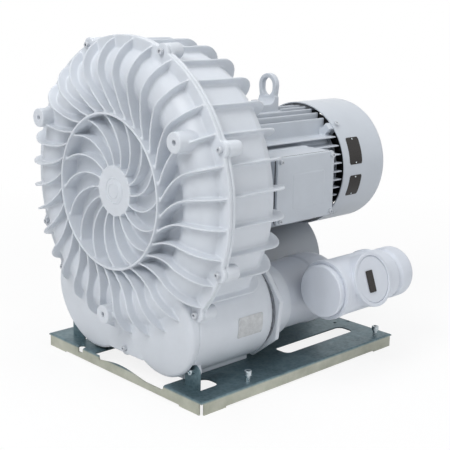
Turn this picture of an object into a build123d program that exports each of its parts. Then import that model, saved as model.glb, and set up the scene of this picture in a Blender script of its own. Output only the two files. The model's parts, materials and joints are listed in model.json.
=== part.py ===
from build123d import *
from math import acos, asin, atan2, cos, degrees, hypot, pi, radians, sin, sqrt
import os

# Side channel blower on a folded base plate. Millimetres, Z up, X along the shaft from the
# blower's face to the motor's fan end. The origin is on the floor, at the middle of the base.

# ---------------------------------------------------------------- driving dimensions
# base plate
base_length = 600.0
base_width = 524.0
base_height = 28.0
base_sheet = 3.0
base_bend = 5.0
base_foot_length = 66.0
base_foot_rise = 3.0
base_corner_gap = 7.0
front_notch_left = 147.0
front_notch_right = 88.0
front_notch_depth = 150.0
front_scallop_drop = 11.0
window_length = 227.0
window_width = 43.0
window_start = 20.0
window_outer_y = 190.0
window_corner = 14.0
tab_width = 44.0
tab_height = 53.0
tab_inner_y = 172.0
tab_x = -262.0
tab_window_length = 53.0
tab_screw_height = 38.0
stud_pitch_x = 416.0
stud_pitch_y = 484.0
stud_shift_x = 53.0
stud_size = 10.0
stud_head = 16.0
stud_stand = 30.0
stud_nut = 8.0
plate_hole = 8.0
plate_holes = [(23.0, -126.0), (291.0, -137.0), (258.0, -124.0)]

# casing
parting_x = -272.0
channel_x = -256.5
channel_pitch_radius = 236.0
channel_radius = 48.0
casing_wall = 6.0
flange_radius = 310.0
flange_thickness = 8.5
cover_floor_gap = 24.5
cover_floor = 7.0
ring_radius = 160.0
ring_wall = 4.5
ring_lip_x = -327.0
hub_radius = 52.0
hub_face_x = -308.0
medallion_radius = 22.0
medallion_rise = 2.5
hub_skin = 8.0
nut_room_radius = 30.0
casing_radius = 289.0
casing_rear_x = -142.0
rear_wall = 8.0

# fins and blades
outer_fin_count = 32
outer_fin_phase = 5.625
outer_fin_thickness = 4.0
outer_fin_sweep = 15.5
outer_fin_straight_radius = 262.0
fin_rise_front = 20.0
fin_rise_side = 14.0
rear_fin_end_x = -135.0
rear_fin_radius = 303.0
rear_fin_corner = 22.0
blade_count = 16
blade_phase = -1.2
blade_thickness = 3.5
blade_sweep = 30.0
blade_crest_hub_x = -309.0
blade_crest_ring_x = -321.0

# bosses and flange screws
boss_count = 3
boss_phase = 30.0
boss_pitch_radius = 255.0
boss_radius = 20.0
boss_face_x = -340.0
boss_hole = 10.5
boss_hole_depth = 30.0
flange_screw_phase = 22.5
flange_screw_step = 45.0
flange_screw_pitch_radius = 307.0
flange_screw_size = 8.0
flange_boss_radius = 15.5
flange_boss_length = 34.0

# silencers
silencer_radius = 113.0
silencer_y = 112.0
silencer_stand = 4.0
silencer_wall = 7.0
silencer_rear_x = -68.0
lobe_top_x = -308.0
lobe_bottom_x = -276.0
lobe_edge = 9.0
liner_thickness = 22.0
liner_gap = 1.0
rail_y = 152.0
rail_width = 34.0
rail_height = 24.0
port_radius = 58.0

# impeller and shaft
vane_count = 36
vane_inner_radius = 194.0
vane_outer_radius = 277.0
vane_half_width = 21.0
vane_thickness = 3.0
impeller_disc = 8.0
impeller_hub_radius = 46.0
impeller_hub_front_x = -280.0
impeller_hub_rear_x = -236.0
impeller_bore = 38.0
key_width = 10.0
key_height = 8.0
key_length = 30.0
retaining_washer = 5.0
retaining_screw = 12.0
shaft_bearing_bore = 45.0
shaft_core_bore = 54.0
seal_width = 10.0
fan_seat = 32.0
key_inset = 6.0
impeller_rim = 8.0
vane_corner = 18.0
shaft_end_inset = 3.0
seal_shoulder_x = -235.0
shaft_collar = 52.0
retaining_screw_length = 30.0
fan_hub_width = 30.0

# motor
bearing_outer = 100.0
bearing_width = 25.0
bearing_ring = 8.0
ball_count = 8
ball_radius = 8.5
drive_bearing_x = -118.0
fan_bearing_x = 228.0
shield_radius = 146.0
shield_thickness = 14.0
stator_bore = 127.0
stator_outer = 196.0
stator_front_x = -12.0
stator_length = 172.0
winding_length = 32.0
air_gap = 0.5
frame_wall = 13.0
frame_end_x = 241.0
frame_fin_radius = 139.0
frame_fin_thickness = 3.4
frame_fin_pitch = 19.0
rear_shield_thickness = 11.0
cowl_radius = 145.6
cowl_sheet = 2.5
cowl_start_x = 239.0
cowl_end_x = 395.0
cowl_corner = 16.0
grille_ring_count = 6
grille_inner_radius = 24.0
grille_slot = 9.0
grille_bar = 9.0
grille_spokes = 8
cowl_screw_size = 6.0
cowl_screw_x = 252.0
fan_x = 275.0
fan_width = 36.0
fan_radius = 122.0
fan_blade_count = 9
frame_fin_side_count = 4
shield_shaft_gap = 0.5
spigot_length = 18.0
rear_shield_radius = 112.0
cowl_pad_width = 18.0
cowl_pad_length = 26.0

# terminal box
box_start_x = -46.0
box_length = 178.0
box_height = 142.0
box_seat_y = 128.0
box_face_y = 205.0
box_wall = 5.0
box_cover = 7.0
box_corner = 8.0
box_centre_drop = 4.0
box_screw_inset = 9.0
box_screw_size = 6.0
pad_margin = 3.0
gland_spread = 70.0
gland_thread = 32.0
gland_head = 20.0
blank_head = 6.0

# lifting lug
lug_x = 141.0
lug_width = 62.0
lug_thickness = 16.0
lug_hole = 34.0
lug_hole_rise = 193.0
lug_hole_stretch = 7.0
lug_foot_length = 84.0
lug_seat = 134.0
lug_foot_height = 16.0
lug_screw = 12.0

# outlet and inlet pipework
gasket_thickness = 3.0
port_y = 133.0
port_screw_pitch_radius = 76.0
port_screw_phase = 14.0
hex_apothem = 100.0
hex_turn = 164.0
hex_thickness = 12.0
neck_radius = 66.0
neck_length = 75.0
liner_length = 40.0
manifold_x = 0.0
manifold_edge = 5.0
manifold_end_x = 226.0
manifold_radius = 75.0
tee_x = 124.0
tee_y = 270.0
tee_rise = 42.5
tee_radius = 61.5
tee_wall = 5.5
tee_tilt = 20.0
tee_front_x = 40.0
tee_rear_x = 190.0
tee_ring = 13.0
tee_ring_rise = 2.5
branch_radius = 56.0
branch_reach = 67.0
leg_radius = 42.0
leg_reach = 74.0
sleeve_wall = 6.0
cap_edge = 3.0
cap_recess = 1.5
plug_depth = 20.0
plug_face_x = 26.0
adapter_spigot = 9.0
adapter_radius = 58.0
adapter_end_x = 232.0
nozzle_radius = 54.0
nozzle_end_x = 288.0
nozzle_edge = 10.0
nozzle_bore = 80.0
canister_x = -36.0
lid_edge = 3.0
lid_overlap = 12.0
filter_grip = 20.0
intake_stand = 10.0
filter_pleats = 60
filter_end = 5.0
filter_front_x = 22.0
port_rise = 1.0
pipe_wall = 5.0
canister_radius = 112.0
canister_gap = 23.7
canister_end_x = 338.0
canister_wall = 3.0
canister_lid = 26.0
inlet_port_radius = 55.0
filter_inner_radius = 62.0
filter_outer_radius = 92.0

# fits and details
fit_gap = 0.3
running_gap = 0.05
fin_start_drop = 10.0
web_depth = 12.0
web_stand = 21.0
web_screw_rise = 12.0
corner_screw_gap = 7.13
flange_hole = 8.4
rear_rib_radius = 205.0
ear_depth = 12.0
ear_radius = 14.0
tab_screw_size = 8.0
shell_wall = 7.0
seal_bore_radius = 31.0
seal_hub_depth = 16.0
motor_spigot_radius = 110.0
screw_thread_depth = 25.0


# ---------------------------------------------------------------- derived places
silencer_height = base_height + silencer_stand + silencer_radius
port_height = silencer_height + port_rise
tee_height = port_height + tee_rise
web_bottom = base_height + web_stand
rail_top = base_height + rail_height
silencer_reach = cowl_radius + canister_gap + canister_radius
axis_height = round(silencer_height + sqrt(silencer_reach ** 2 - silencer_y ** 2))
at_axis = Pos(0, 0, axis_height)
floor_back_x = channel_x - cover_floor_gap
floor_front_x = floor_back_x - cover_floor
rear_floor_x = channel_x + cover_floor_gap
channel_outer_radius = channel_radius + casing_wall
channel_front_x = channel_x - channel_outer_radius
channel_rear_x = channel_x + channel_outer_radius
flange_front_x = parting_x - flange_thickness
flange_rear_x = parting_x + flange_thickness
fin_edge_radius = casing_radius + fin_rise_side
silencer_drop = silencer_height - axis_height
port_drop = port_height - axis_height
frame_start_x = casing_rear_x + shield_thickness
frame_bore = stator_outer / 2
sides = (-1, 1)


# ---------------------------------------------------------------- shared helpers
def band(x0, x1, r0, r1):
    """A rectangle of a turning profile, from x0 to x1 and from radius r0 to r1."""
    return Pos((x0 + x1) / 2, (r0 + r1) / 2) * Rectangle(x1 - x0, r1 - r0)


def turned(*shapes):
    """Turn profile shapes, drawn as (x, radius), round the shaft line."""
    sketch = shapes[0]
    for shape in shapes[1:]:
        sketch = sketch + shape
    return revolve(Plane.XZ * sketch, Axis.X, 360)


def together(shapes):
    """One node of several separate solids, stood at the shaft's height."""
    return Compound([solid for shape in shapes for solid in (at_axis * shape).solids()])


def rod_x(x0, x1, radius, y=0.0, z=0.0):
    """A straight rod along X."""
    return extrude(Plane.YZ.offset(x0) * Pos(y, z) * Circle(radius), x1 - x0)


def tube_x(x0, x1, outer, inner, y=0.0, z=0.0):
    """A straight tube along X."""
    ring = Pos(y, z) * (Circle(outer) - Circle(inner))
    return extrude(Plane.YZ.offset(x0) * ring, x1 - x0)


def block(x0, x1, y0, y1, z0, z1):
    """A box between two corners."""
    return Pos((x0 + x1) / 2, (y0 + y1) / 2, (z0 + z1) / 2) * Box(x1 - x0, y1 - y0, z1 - z0)


def polar(radius, angle):
    """A point (y, z) round the shaft; the angle runs from the near side (-Y) towards +Z."""
    return (-radius * cos(radians(angle)), radius * sin(radians(angle)))


def spun(shape, angle):
    """Turn a shape round the shaft by an angle of the same sense as polar()."""
    return Rot(-angle, 0, 0) * shape


def steps(count, phase, step=None):
    """Evenly spaced angles round the shaft."""
    return [phase + i * (step or 360 / count) for i in range(count)]


def socket_screw(size, length, head_width=1.55):
    """A socket head cap screw along -Z, with the underside of its head at the origin."""
    head = extrude(Circle(size * head_width / 2), size)
    head = chamfer(head.edges().group_by(Axis.Z)[-1], size * 0.08)
    socket = extrude(Plane.XY.offset(size) * RegularPolygon(size * 0.42, 6), -size * 0.5)
    return head - socket + extrude(Circle(size / 2), -length)


def facing_x(shape, x, y, z, ahead=True):
    """Stand a screw made along Z so that its head points to -X (ahead) or to +X."""
    return Pos(x, y, z) * Rot(0, -90 if ahead else 90, 0) * shape


def swept_plan(start_radius, start_turn, straight_radius, outer_radius, thickness):
    """Plan (y, z) of a fin that runs radially at straight_radius and curls away as one arc.

    The arc ends at start_radius, turned by start_turn degrees, on either side of
    straight_radius; from straight_radius a straight part runs on to outer_radius.
    """
    inward = 1 if start_radius < straight_radius else -1
    end_y, end_z = polar(start_radius, start_turn)
    reach = abs(-straight_radius - end_y)
    rise = abs(end_z)
    curl = (reach ** 2 + rise ** 2) / (2 * rise)
    swing = asin(min(reach / curl, 1.0))
    up = 1 if end_z > 0 else -1

    def on_arc(radius, share):
        along = inward * radius * sin(swing * share)
        return (-straight_radius + along, up * (curl - radius * cos(swing * share)))

    half = thickness / 2
    near = [on_arc(curl - half, share) for share in (0, 0.5, 1)]
    far = [on_arc(curl + half, share) for share in (0, 0.5, 1)]
    edges = ThreePointArc(*near) + ThreePointArc(*far) + Line(near[2], far[2])
    if outer_radius == straight_radius:
        return make_face(edges + Line(near[0], far[0]))
    ends = [near[0], (-outer_radius, near[0][1]), (-outer_radius, far[0][1]), far[0]]
    return make_face(edges + Polyline(*ends))


# ---------------------------------------------------------------- casing castings
def channel_disc(radius):
    """Section of the side channel, as a disc of the turning profile."""
    return Pos(channel_x, channel_pitch_radius) * Circle(radius)


def front_crest():
    """Profile under the crests of the front fins, from the ring lip over to the flange."""
    crown = (channel_front_x - fin_rise_front, channel_pitch_radius + 2)
    start = (crown[0] + fin_start_drop, ring_radius)
    middle = ((start[0] + crown[0]) / 2 + 1, (start[1] + crown[1]) / 2)
    edge = (flange_front_x, fin_edge_radius + 3)
    shoulder = (crown[0] + 20, fin_edge_radius - 17)
    crest = ThreePointArc(start, middle, crown) + ThreePointArc(crown, shoulder, edge)
    back = Polyline(edge, (parting_x, edge[1]), (parting_x, ring_radius), start)
    return make_face(crest + back)


def outer_fins():
    """The swept fins of the front cover, cut to the crest profile."""
    plan = swept_plan(ring_radius - ring_wall / 2, -outer_fin_sweep, outer_fin_straight_radius,
                      flange_radius, outer_fin_thickness)
    strip = extrude(Plane.YZ.offset(boss_face_x) * plan, flange_front_x + 2 - boss_face_x)
    fin = strip & turned(front_crest() - channel_disc(channel_outer_radius - 2))
    return [spun(fin, angle) for angle in steps(outer_fin_count, outer_fin_phase)]


def swirl_blades():
    """The swirl of blades between the hub disc and the ring."""
    plan = swept_plan(ring_radius - ring_wall / 2, blade_sweep, hub_radius - 3, hub_radius - 3,
                      blade_thickness)
    strip = extrude(Plane.YZ.offset(blade_crest_ring_x - 5) * plan,
                    floor_front_x + 2 - blade_crest_ring_x + 5)
    corners = [(blade_crest_hub_x, 0), (blade_crest_hub_x, hub_radius),
               (blade_crest_ring_x, ring_radius), (floor_back_x, ring_radius), (floor_back_x, 0)]
    blade = strip & turned(make_face(Polyline(*corners, close=True)))
    return [spun(blade, angle) for angle in steps(blade_count, blade_phase)]


def lobe(side, radius, front_offset, rear_x, flat_front=False):
    """One silencer chamber in front of rear_x, with its sloping face."""
    reach = 60
    body = rod_x(lobe_top_x - reach, rear_x, radius, side * silencer_y, silencer_drop)
    slope = atan2(lobe_bottom_x - lobe_top_x, 2 * silencer_radius)
    lean = Rot(0, -degrees(slope), 0)
    cutter = Pos(-3 * reach / 2, 0, 0) * Box(3 * reach, 4 * radius, 6 * radius)
    mid_x = (lobe_top_x + lobe_bottom_x) / 2 + front_offset
    body = body - Pos(mid_x, side * silencer_y, silencer_drop) * lean * cutter
    if front_offset == 0:
        body = fillet(body.edges().group_by(Axis.X)[0], lobe_edge)
    return body


def front_lobes():
    """Both silencer lobes of the front cover, outside the channel's crown."""
    body = lobe(-1, silencer_radius, 0, parting_x) + lobe(1, silencer_radius, 0, parting_x)
    web = lower_web(flange_front_x, parting_x)
    keep_out = rod_x(lobe_top_x - silencer_radius, parting_x, channel_pitch_radius)
    return body + web - keep_out


def lobe_hollows(rear_x):
    """The hollow inside each lobe, kept out of the channel's shell."""
    shell = turned(band(channel_front_x - 30, parting_x, 0, channel_pitch_radius),
                   channel_disc(channel_outer_radius))
    inner = silencer_radius - silencer_wall
    hollow = [lobe(side, inner, silencer_wall, rear_x) for side in sides]
    return [one - shell for one in hollow]


def mount_bosses():
    """The threaded bosses on the casing's face."""
    bosses = []
    for angle in steps(boss_count, boss_phase):
        y, z = polar(boss_pitch_radius, angle)
        bosses.append(rod_x(boss_face_x, channel_front_x + 22, boss_radius, y, z))
    return bosses


def mount_boss_holes():
    """The blind holes of the face bosses."""
    holes = []
    for angle in steps(boss_count, boss_phase):
        y, z = polar(boss_pitch_radius, angle)
        holes.append(rod_x(boss_face_x, boss_face_x + boss_hole_depth, boss_hole / 2, y, z))
    return holes


def flange_screw_places():
    """Centres (y, z) of the screws that hold the cover to the housing."""
    round_flange = [polar(flange_screw_pitch_radius, a)
                    for a in steps(8, flange_screw_phase, flange_screw_step)]
    upper = [place for place in round_flange if place[1] > -flange_screw_pitch_radius * 0.6]
    turn = corner_screw_turn()
    corners = [polar(flange_screw_pitch_radius, a) for a in (-turn, 180 + turn)]
    return upper + corners + [(0.0, web_bottom + web_screw_rise - axis_height)]


def corner_screw_turn():
    """Where the screws' pitch circle just clears the outside of a silencer."""
    reach = hypot(silencer_y, silencer_drop)
    clear = silencer_radius + corner_screw_gap
    pitch = flange_screw_pitch_radius
    share = (pitch ** 2 + reach ** 2 - clear ** 2) / (2 * pitch * reach)
    return degrees(atan2(-silencer_drop, silencer_y) - acos(share))


def lower_web(x0, x1):
    """The web between the two silencers, on either side of the parting plane."""
    return block(x0, x1, -silencer_y / 2, silencer_y / 2,
                 web_bottom - axis_height, silencer_drop)


def front_cover():
    """The front casting: half the side channel, face swirl, fins, lobes and bosses."""
    ahead = band(channel_front_x - 1, parting_x, 0, flange_radius)
    floor = band(floor_front_x, floor_back_x, 0, channel_pitch_radius - channel_radius + 6)
    ring = band(ring_lip_x, floor_back_x, ring_radius - ring_wall, ring_radius)
    hub = band(hub_face_x, floor_back_x, 0, hub_radius)
    medallion = band(hub_face_x - medallion_rise, hub_face_x, 0, medallion_radius)
    crown = channel_disc(channel_outer_radius) & ahead
    flange = band(flange_front_x, parting_x, channel_pitch_radius + channel_radius, flange_radius)
    cover = turned(crown + floor + ring + hub + medallion + flange)
    ears = [rod_x(flange_front_x, parting_x, flange_boss_radius, y, z)
            for y, z in flange_screw_places()]
    cover = cover + outer_fins() + swirl_blades() + mount_bosses() + ears + front_lobes()
    chamber = band(floor_back_x, parting_x, 0, channel_pitch_radius)
    nut_room = band(hub_face_x + hub_skin, floor_back_x, 0, nut_room_radius)
    cover = cover - turned(channel_disc(channel_radius) + chamber + nut_room)
    cover = cover - lobe_hollows(parting_x)
    holes = [rod_x(flange_front_x - 1, parting_x, flange_hole / 2, y, z)
             for y, z in flange_screw_places()]
    cover = cover - holes - mount_boss_holes()
    return at_axis * cover


def rear_fins():
    """The straight fins round the rear housing, running on as ribs over its rear wall."""
    corner_x = rear_fin_end_x - rear_fin_corner
    corner_radius = rear_fin_radius - rear_fin_corner
    outline = band(parting_x + 2, corner_x, rear_rib_radius, rear_fin_radius)
    outline = outline + band(corner_x - 1, rear_fin_end_x, rear_rib_radius, corner_radius)
    outline = outline + Pos(corner_x, corner_radius) * Circle(rear_fin_corner)
    outline = outline - band(parting_x, casing_rear_x - 3, 0, casing_radius - 3)
    fin = extrude(Plane.XZ * outline, outer_fin_thickness / 2, both=True)
    fin = Rot(90, 0, 0) * fin
    return [spun(fin, angle) for angle in steps(outer_fin_count, outer_fin_phase)]


def silencer_tube(side, radius, rear_x):
    return rod_x(parting_x, rear_x, radius, side * silencer_y, silencer_drop)


def foot_rails():
    """The rails under the silencers that stand on the base plate."""
    rails = []
    for side in sides:
        y_out = side * rail_y
        y_in = side * (rail_y - rail_width)
        rails.append(block(tab_x + base_sheet / 2 + ear_depth, silencer_rear_x,
                           min(y_in, y_out), max(y_in, y_out),
                           base_height - axis_height, rail_top - axis_height))
    return rails


def tab_ears():
    """The ears of the rear housing behind the base plate's bent-up tabs."""
    front = tab_x + base_sheet / 2
    ears = []
    for side in sides:
        y_mid = side * (tab_inner_y + tab_width / 2)
        z_mid = base_height - base_sheet + tab_screw_height - axis_height
        reach = block(front, front + ear_depth, min(y_mid, side * silencer_y),
                      max(y_mid, side * silencer_y), z_mid - ear_radius, z_mid + ear_radius)
        ears.append(reach + rod_x(front, front + ear_depth, ear_radius, y_mid, z_mid))
    return ears


def tab_blocks(x1, margin):
    """Blocks over the upper part of the tabs, where they stand into the silencers."""
    top = base_height - base_sheet + tab_height + margin - axis_height
    blocks = []
    for side in sides:
        y_in = side * (tab_inner_y - margin)
        y_out = side * (tab_inner_y + tab_width + 30)
        blocks.append(block(parting_x - 1, x1, min(y_in, y_out), max(y_in, y_out),
                            base_height - axis_height, top))
    return blocks


def tab_pockets():
    return tab_blocks(tab_x + base_sheet / 2, fit_gap + 1)


def tab_pads():
    return tab_blocks(tab_x + base_sheet / 2 + silencer_wall, fit_gap + 1 + silencer_wall)


def tab_ear_holes():
    """Threads for the screws through the tabs."""
    front = tab_x + base_sheet / 2
    z_mid = base_height - base_sheet + tab_screw_height - axis_height
    return [rod_x(front - 1, front + ear_depth + 1, tab_screw_size / 2,
                  side * (tab_inner_y + tab_width / 2), z_mid) for side in sides]


def rear_housing():
    """The rear casting: shell, channel half, fins, silencer barrels, rails and motor seat."""
    shell = band(parting_x, casing_rear_x, casing_radius - shell_wall, casing_radius)
    flange = band(parting_x, flange_rear_x, channel_pitch_radius + channel_radius, flange_radius)
    behind = band(parting_x, channel_rear_x + 1, 0, flange_radius)
    channel = channel_disc(channel_outer_radius) & behind
    outer_land = band(parting_x, channel_x, channel_pitch_radius + channel_radius, casing_radius)
    floor = band(rear_floor_x, rear_floor_x + cover_floor, seal_bore_radius,
                 channel_pitch_radius - channel_radius + 6)
    wall = band(casing_rear_x - rear_wall, casing_rear_x, motor_spigot_radius, casing_radius)
    tube = band(rear_floor_x, casing_rear_x, motor_spigot_radius,
                motor_spigot_radius + casing_wall)
    seal_hub = band(rear_floor_x, rear_floor_x + seal_hub_depth, seal_bore_radius,
                    seal_bore_radius + 9)
    core = turned(shell + flange + channel + outer_land + floor + wall + tube + seal_hub)
    ears = [rod_x(parting_x, parting_x + flange_boss_length, flange_boss_radius, y, z)
            for y, z in flange_screw_places()]
    barrels = [silencer_tube(side, silencer_radius, silencer_rear_x) for side in sides]
    envelope = turned(band(parting_x, casing_rear_x, 0, casing_radius))
    housing = core + rear_fins() + ears + foot_rails() + tab_ears()
    housing = housing + [barrel - envelope for barrel in barrels]
    inner = silencer_radius - silencer_wall
    hollows = [silencer_tube(side, inner, silencer_rear_x - silencer_wall) - envelope
               for side in sides]
    hollows = [hollow - tab_pads() for hollow in hollows]
    ports = [rod_x(silencer_rear_x - 2 * silencer_wall, silencer_rear_x + 1, port_radius,
                   side * port_y, port_drop) for side in sides]
    ports += [rod_x(silencer_rear_x - 2 * silencer_wall, silencer_rear_x + 1,
                    flange_screw_size / 2, y, z)
              for side in sides for y, z in port_screw_places(side)]
    holes = [rod_x(parting_x - 1, parting_x + screw_thread_depth, flange_screw_size / 2, y, z)
             for y, z in flange_screw_places()]
    housing = housing + lower_web(parting_x, parting_x + web_depth)
    chamber = band(parting_x, rear_floor_x, 0, channel_pitch_radius)
    housing = housing - turned(channel_disc(channel_radius) + chamber)
    housing = housing - hollows - ports - holes - tab_pockets() - tab_ear_holes()
    return at_axis * housing


def flange_screws():
    """The socket screws that clamp the cover to the housing."""
    screw = socket_screw(flange_screw_size, flange_thickness + screw_thread_depth - 2)
    return together([facing_x(screw, flange_front_x, y, z) for y, z in flange_screw_places()])


# ---------------------------------------------------------------- rotor
def impeller():
    """The wheel: hub, disc and straight vanes standing in the side channel."""
    disc_x0 = channel_x - impeller_disc / 2
    disc = band(disc_x0, disc_x0 + impeller_disc, impeller_bore / 2, vane_outer_radius)
    hub = band(impeller_hub_front_x, impeller_hub_rear_x, impeller_bore / 2, impeller_hub_radius)
    rim = band(channel_x - vane_half_width, channel_x + vane_half_width,
               vane_inner_radius - impeller_rim, vane_inner_radius)
    wheel = turned(disc + hub + rim)
    vane_plan = band(channel_x - vane_half_width, channel_x + vane_half_width,
                     vane_inner_radius - 1, vane_outer_radius - 1)
    vane_plan = fillet(vane_plan.vertices().group_by(Axis.Y)[-1], vane_corner)
    vane = Rot(90, 0, 0) * extrude(Plane.XZ * vane_plan, vane_thickness / 2, both=True)
    wheel = wheel + [spun(vane, angle) for angle in steps(vane_count, 0)]
    return at_axis * (wheel - key_slot(impeller_hub_front_x, impeller_hub_rear_x, impeller_bore))


def key_slot(x0, x1, bore):
    """The keyway cut in a hub above the shaft."""
    return block(x0, x1, -key_width / 2, key_width / 2, 0, bore / 2 + key_height / 2)


def impeller_key():
    x0 = impeller_hub_front_x + key_inset
    return at_axis * block(x0, x0 + key_length, -key_width / 2, key_width / 2,
                           impeller_bore / 2 - key_height / 2, impeller_bore / 2 + key_height / 2)


def shaft():
    """The motor shaft, stepped for impeller, bearings, rotor core and fan."""
    core_x0 = stator_front_x
    core_x1 = stator_front_x + stator_length
    steps_along = [
        (impeller_hub_front_x + shaft_end_inset, seal_shoulder_x, impeller_bore),
        (seal_shoulder_x, drive_bearing_x + bearing_width, shaft_bearing_bore),
        (drive_bearing_x + bearing_width, core_x0, shaft_collar),
        (core_x0, core_x1, shaft_core_bore),
        (core_x1, fan_bearing_x, shaft_collar),
        (fan_bearing_x, fan_bearing_x + bearing_width + 4, shaft_bearing_bore),
        (fan_bearing_x + bearing_width + 4, fan_x + fan_hub_width, fan_seat),
    ]
    body = turned(*[band(x0, x1, 0, d / 2) for x0, x1, d in steps_along])
    x0 = impeller_hub_front_x + key_inset
    keyway = block(x0, x0 + key_length, -key_width / 2, key_width / 2,
                   impeller_bore / 2 - key_height / 2, impeller_bore)
    thread_x = impeller_hub_front_x + shaft_end_inset
    thread = rod_x(thread_x, thread_x + retaining_screw_length, retaining_screw / 2)
    return at_axis * (body - keyway - thread)


def impeller_washer():
    x1 = impeller_hub_front_x
    return at_axis * tube_x(x1 - retaining_washer, x1, impeller_bore / 2 + 5,
                            retaining_screw / 2 + running_gap)


def impeller_screw():
    length = retaining_washer + shaft_end_inset + retaining_screw_length - 3
    screw = socket_screw(retaining_screw, length)
    return at_axis * facing_x(screw, impeller_hub_front_x - retaining_washer, 0, 0)


def rotor_core():
    """The squirrel cage stack with its end rings."""
    x0, x1 = stator_front_x, stator_front_x + stator_length
    radius = stator_bore / 2 - air_gap
    ring = radius - 3
    body = turned(band(x0, x1, shaft_core_bore / 2, radius),
                  band(x0 - 12, x0, ring - 14, ring), band(x1, x1 + 12, ring - 14, ring))
    return at_axis * body


def cooling_fan():
    """The radial fan behind the motor, with straight blades on a disc."""
    hub = band(fan_x, fan_x + fan_hub_width, fan_seat / 2, fan_seat / 2 + 9)
    disc = band(fan_x, fan_x + 4, fan_seat / 2, fan_radius)
    blade_plan = band(fan_x + 2, fan_x + fan_width, fan_seat / 2 + 8, fan_radius)
    blade = Rot(90, 0, 0) * extrude(Plane.XZ * blade_plan, 1.6, both=True)
    return at_axis * (turned(hub + disc) + [spun(blade, a) for a in steps(fan_blade_count, 10)])


# ---------------------------------------------------------------- bearings and seal
def bearing_rings(inner):
    """Inner or outer rings of both ball bearings."""
    rings = []
    track = (bearing_outer + shaft_bearing_bore) / 4
    for x0 in (drive_bearing_x, fan_bearing_x):
        middle = x0 + bearing_width / 2
        if inner:
            ring = band(x0, x0 + bearing_width, shaft_bearing_bore / 2,
                        shaft_bearing_bore / 2 + bearing_ring)
        else:
            ring = band(x0, x0 + bearing_width, bearing_outer / 2 - bearing_ring,
                        bearing_outer / 2)
        groove = Pos(middle, track) * Circle(ball_radius + running_gap)
        rings.append(turned(ring - groove))
    return together(rings)


def bearing_balls(x0):
    """One bearing's balls, standing on the lower and upper groove."""
    track = (bearing_outer + shaft_bearing_bore) / 4
    balls = []
    for angle in steps(ball_count, 0):
        y, z = polar(track, angle)
        balls.append(Pos(x0 + bearing_width / 2, y, z) * Sphere(ball_radius))
    cage = tube_x(x0 + bearing_width / 2 - 2, x0 + bearing_width / 2 + 2, track + 2, track - 2)
    return at_axis * (cage + balls)


def shaft_seal():
    """The lip seal in the rear floor, in front of the motor."""
    x0 = rear_floor_x
    return at_axis * tube_x(x0, x0 + seal_width, seal_bore_radius,
                            shaft_bearing_bore / 2 + running_gap)


# ---------------------------------------------------------------- motor
def drive_shield():
    """The motor's front shield: it closes the casing and carries the drive bearing."""
    x0 = casing_rear_x
    seat = bearing_outer / 2
    bore = shaft_bearing_bore / 2 + shield_shaft_gap
    disc = band(x0, x0 + shield_thickness, bore, shield_radius)
    plug = band(x0 - rear_wall, x0, bore, motor_spigot_radius - running_gap)
    hub = band(x0 + shield_thickness, drive_bearing_x + bearing_width, seat, seat + 9)
    spigot = band(x0 + shield_thickness, frame_start_x + spigot_length, frame_bore - 8,
                  frame_bore - running_gap)
    return at_axis * (turned(disc + plug + hub + spigot) - turned(
        band(drive_bearing_x, drive_bearing_x + bearing_width, 0, seat)))


def fin_plates():
    """Parallel cooling plates: upright above and below, level on both flanks."""
    plates = []
    half = frame_fin_thickness / 2
    core = frame_bore + frame_wall
    for i in range(-frame_fin_side_count, frame_fin_side_count + 1):
        offset = i * frame_fin_pitch
        tip = sqrt(frame_fin_radius ** 2 - offset ** 2)
        root = sqrt(core ** 2 - offset ** 2) - 4
        for side in sides:
            low, high = min(side * root, side * tip), max(side * root, side * tip)
            plates.append(block(frame_start_x, frame_end_x, offset - half, offset + half,
                                low, high))
            plates.append(block(frame_start_x, frame_end_x, low, high,
                                offset - half, offset + half))
    return plates


def motor_frame():
    """The finned stator housing with its terminal pad, lug pad and cowl pads."""
    core = frame_bore + frame_wall
    frame = tube_x(frame_start_x, frame_end_x, core, frame_bore) + fin_plates()
    pad_z = box_height / 2 + pad_margin
    room = block(box_start_x - pad_margin, box_start_x + box_length + pad_margin,
                 -frame_fin_radius - 5, -core + 6, -pad_z - box_centre_drop,
                 pad_z - box_centre_drop)
    pad = block(box_start_x, box_start_x + box_length, -box_seat_y, -core + 18,
                -box_height / 2 - box_centre_drop, box_height / 2 - box_centre_drop)
    lug_room = block(lug_x - lug_foot_length - 2, lug_x + lug_thickness / 2 + 2,
                     -lug_width / 2 - 2, lug_width / 2 + 2, core - 5, frame_fin_radius + 5)
    lug_pad = block(lug_x - lug_foot_length, lug_x + lug_thickness / 2, -lug_width / 2,
                    lug_width / 2, core - 8, lug_seat)
    frame = frame - room + pad - lug_room + lug_pad + cowl_pads()
    bore = rod_x(frame_start_x - 1, frame_end_x + 1, frame_bore)
    window = block(box_start_x + 60, box_start_x + box_length - 60, -box_seat_y - 1, 0,
                   -18 - box_centre_drop, 18 - box_centre_drop)
    holes = [rod_lug_hole(x, y, lug_seat) for x, y in lug_screw_places()]
    frame = frame - bore - window - holes - cowl_screw_holes()
    return at_axis * (frame - box_screw_holes(-box_seat_y, 14))


def lug_screw_places():
    x0 = lug_x - lug_foot_length + 16
    return [(x0, y) for y in (-18, 18)]


def rod_lug_hole(x, y, top):
    return extrude(Plane.XY.offset(top - 16) * Pos(x, y) * Circle(lug_screw / 2), 20)


def cowl_pads():
    """Four lugs near the frame's end that the fan cowl is screwed to."""
    pads = []
    top = cowl_radius - cowl_sheet - fit_gap
    half = cowl_pad_width / 2
    inner = block(cowl_screw_x - cowl_pad_length, frame_end_x, -half, half, frame_bore + 4, top)
    outer = block(cowl_screw_x - cowl_pad_length, cowl_screw_x + cowl_screw_size, -half, half,
                  rear_shield_radius + 2, top)
    for angle in steps(4, 45):
        pads.append(spun(Rot(90, 0, 0) * (inner + outer), angle))
    return pads


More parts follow.
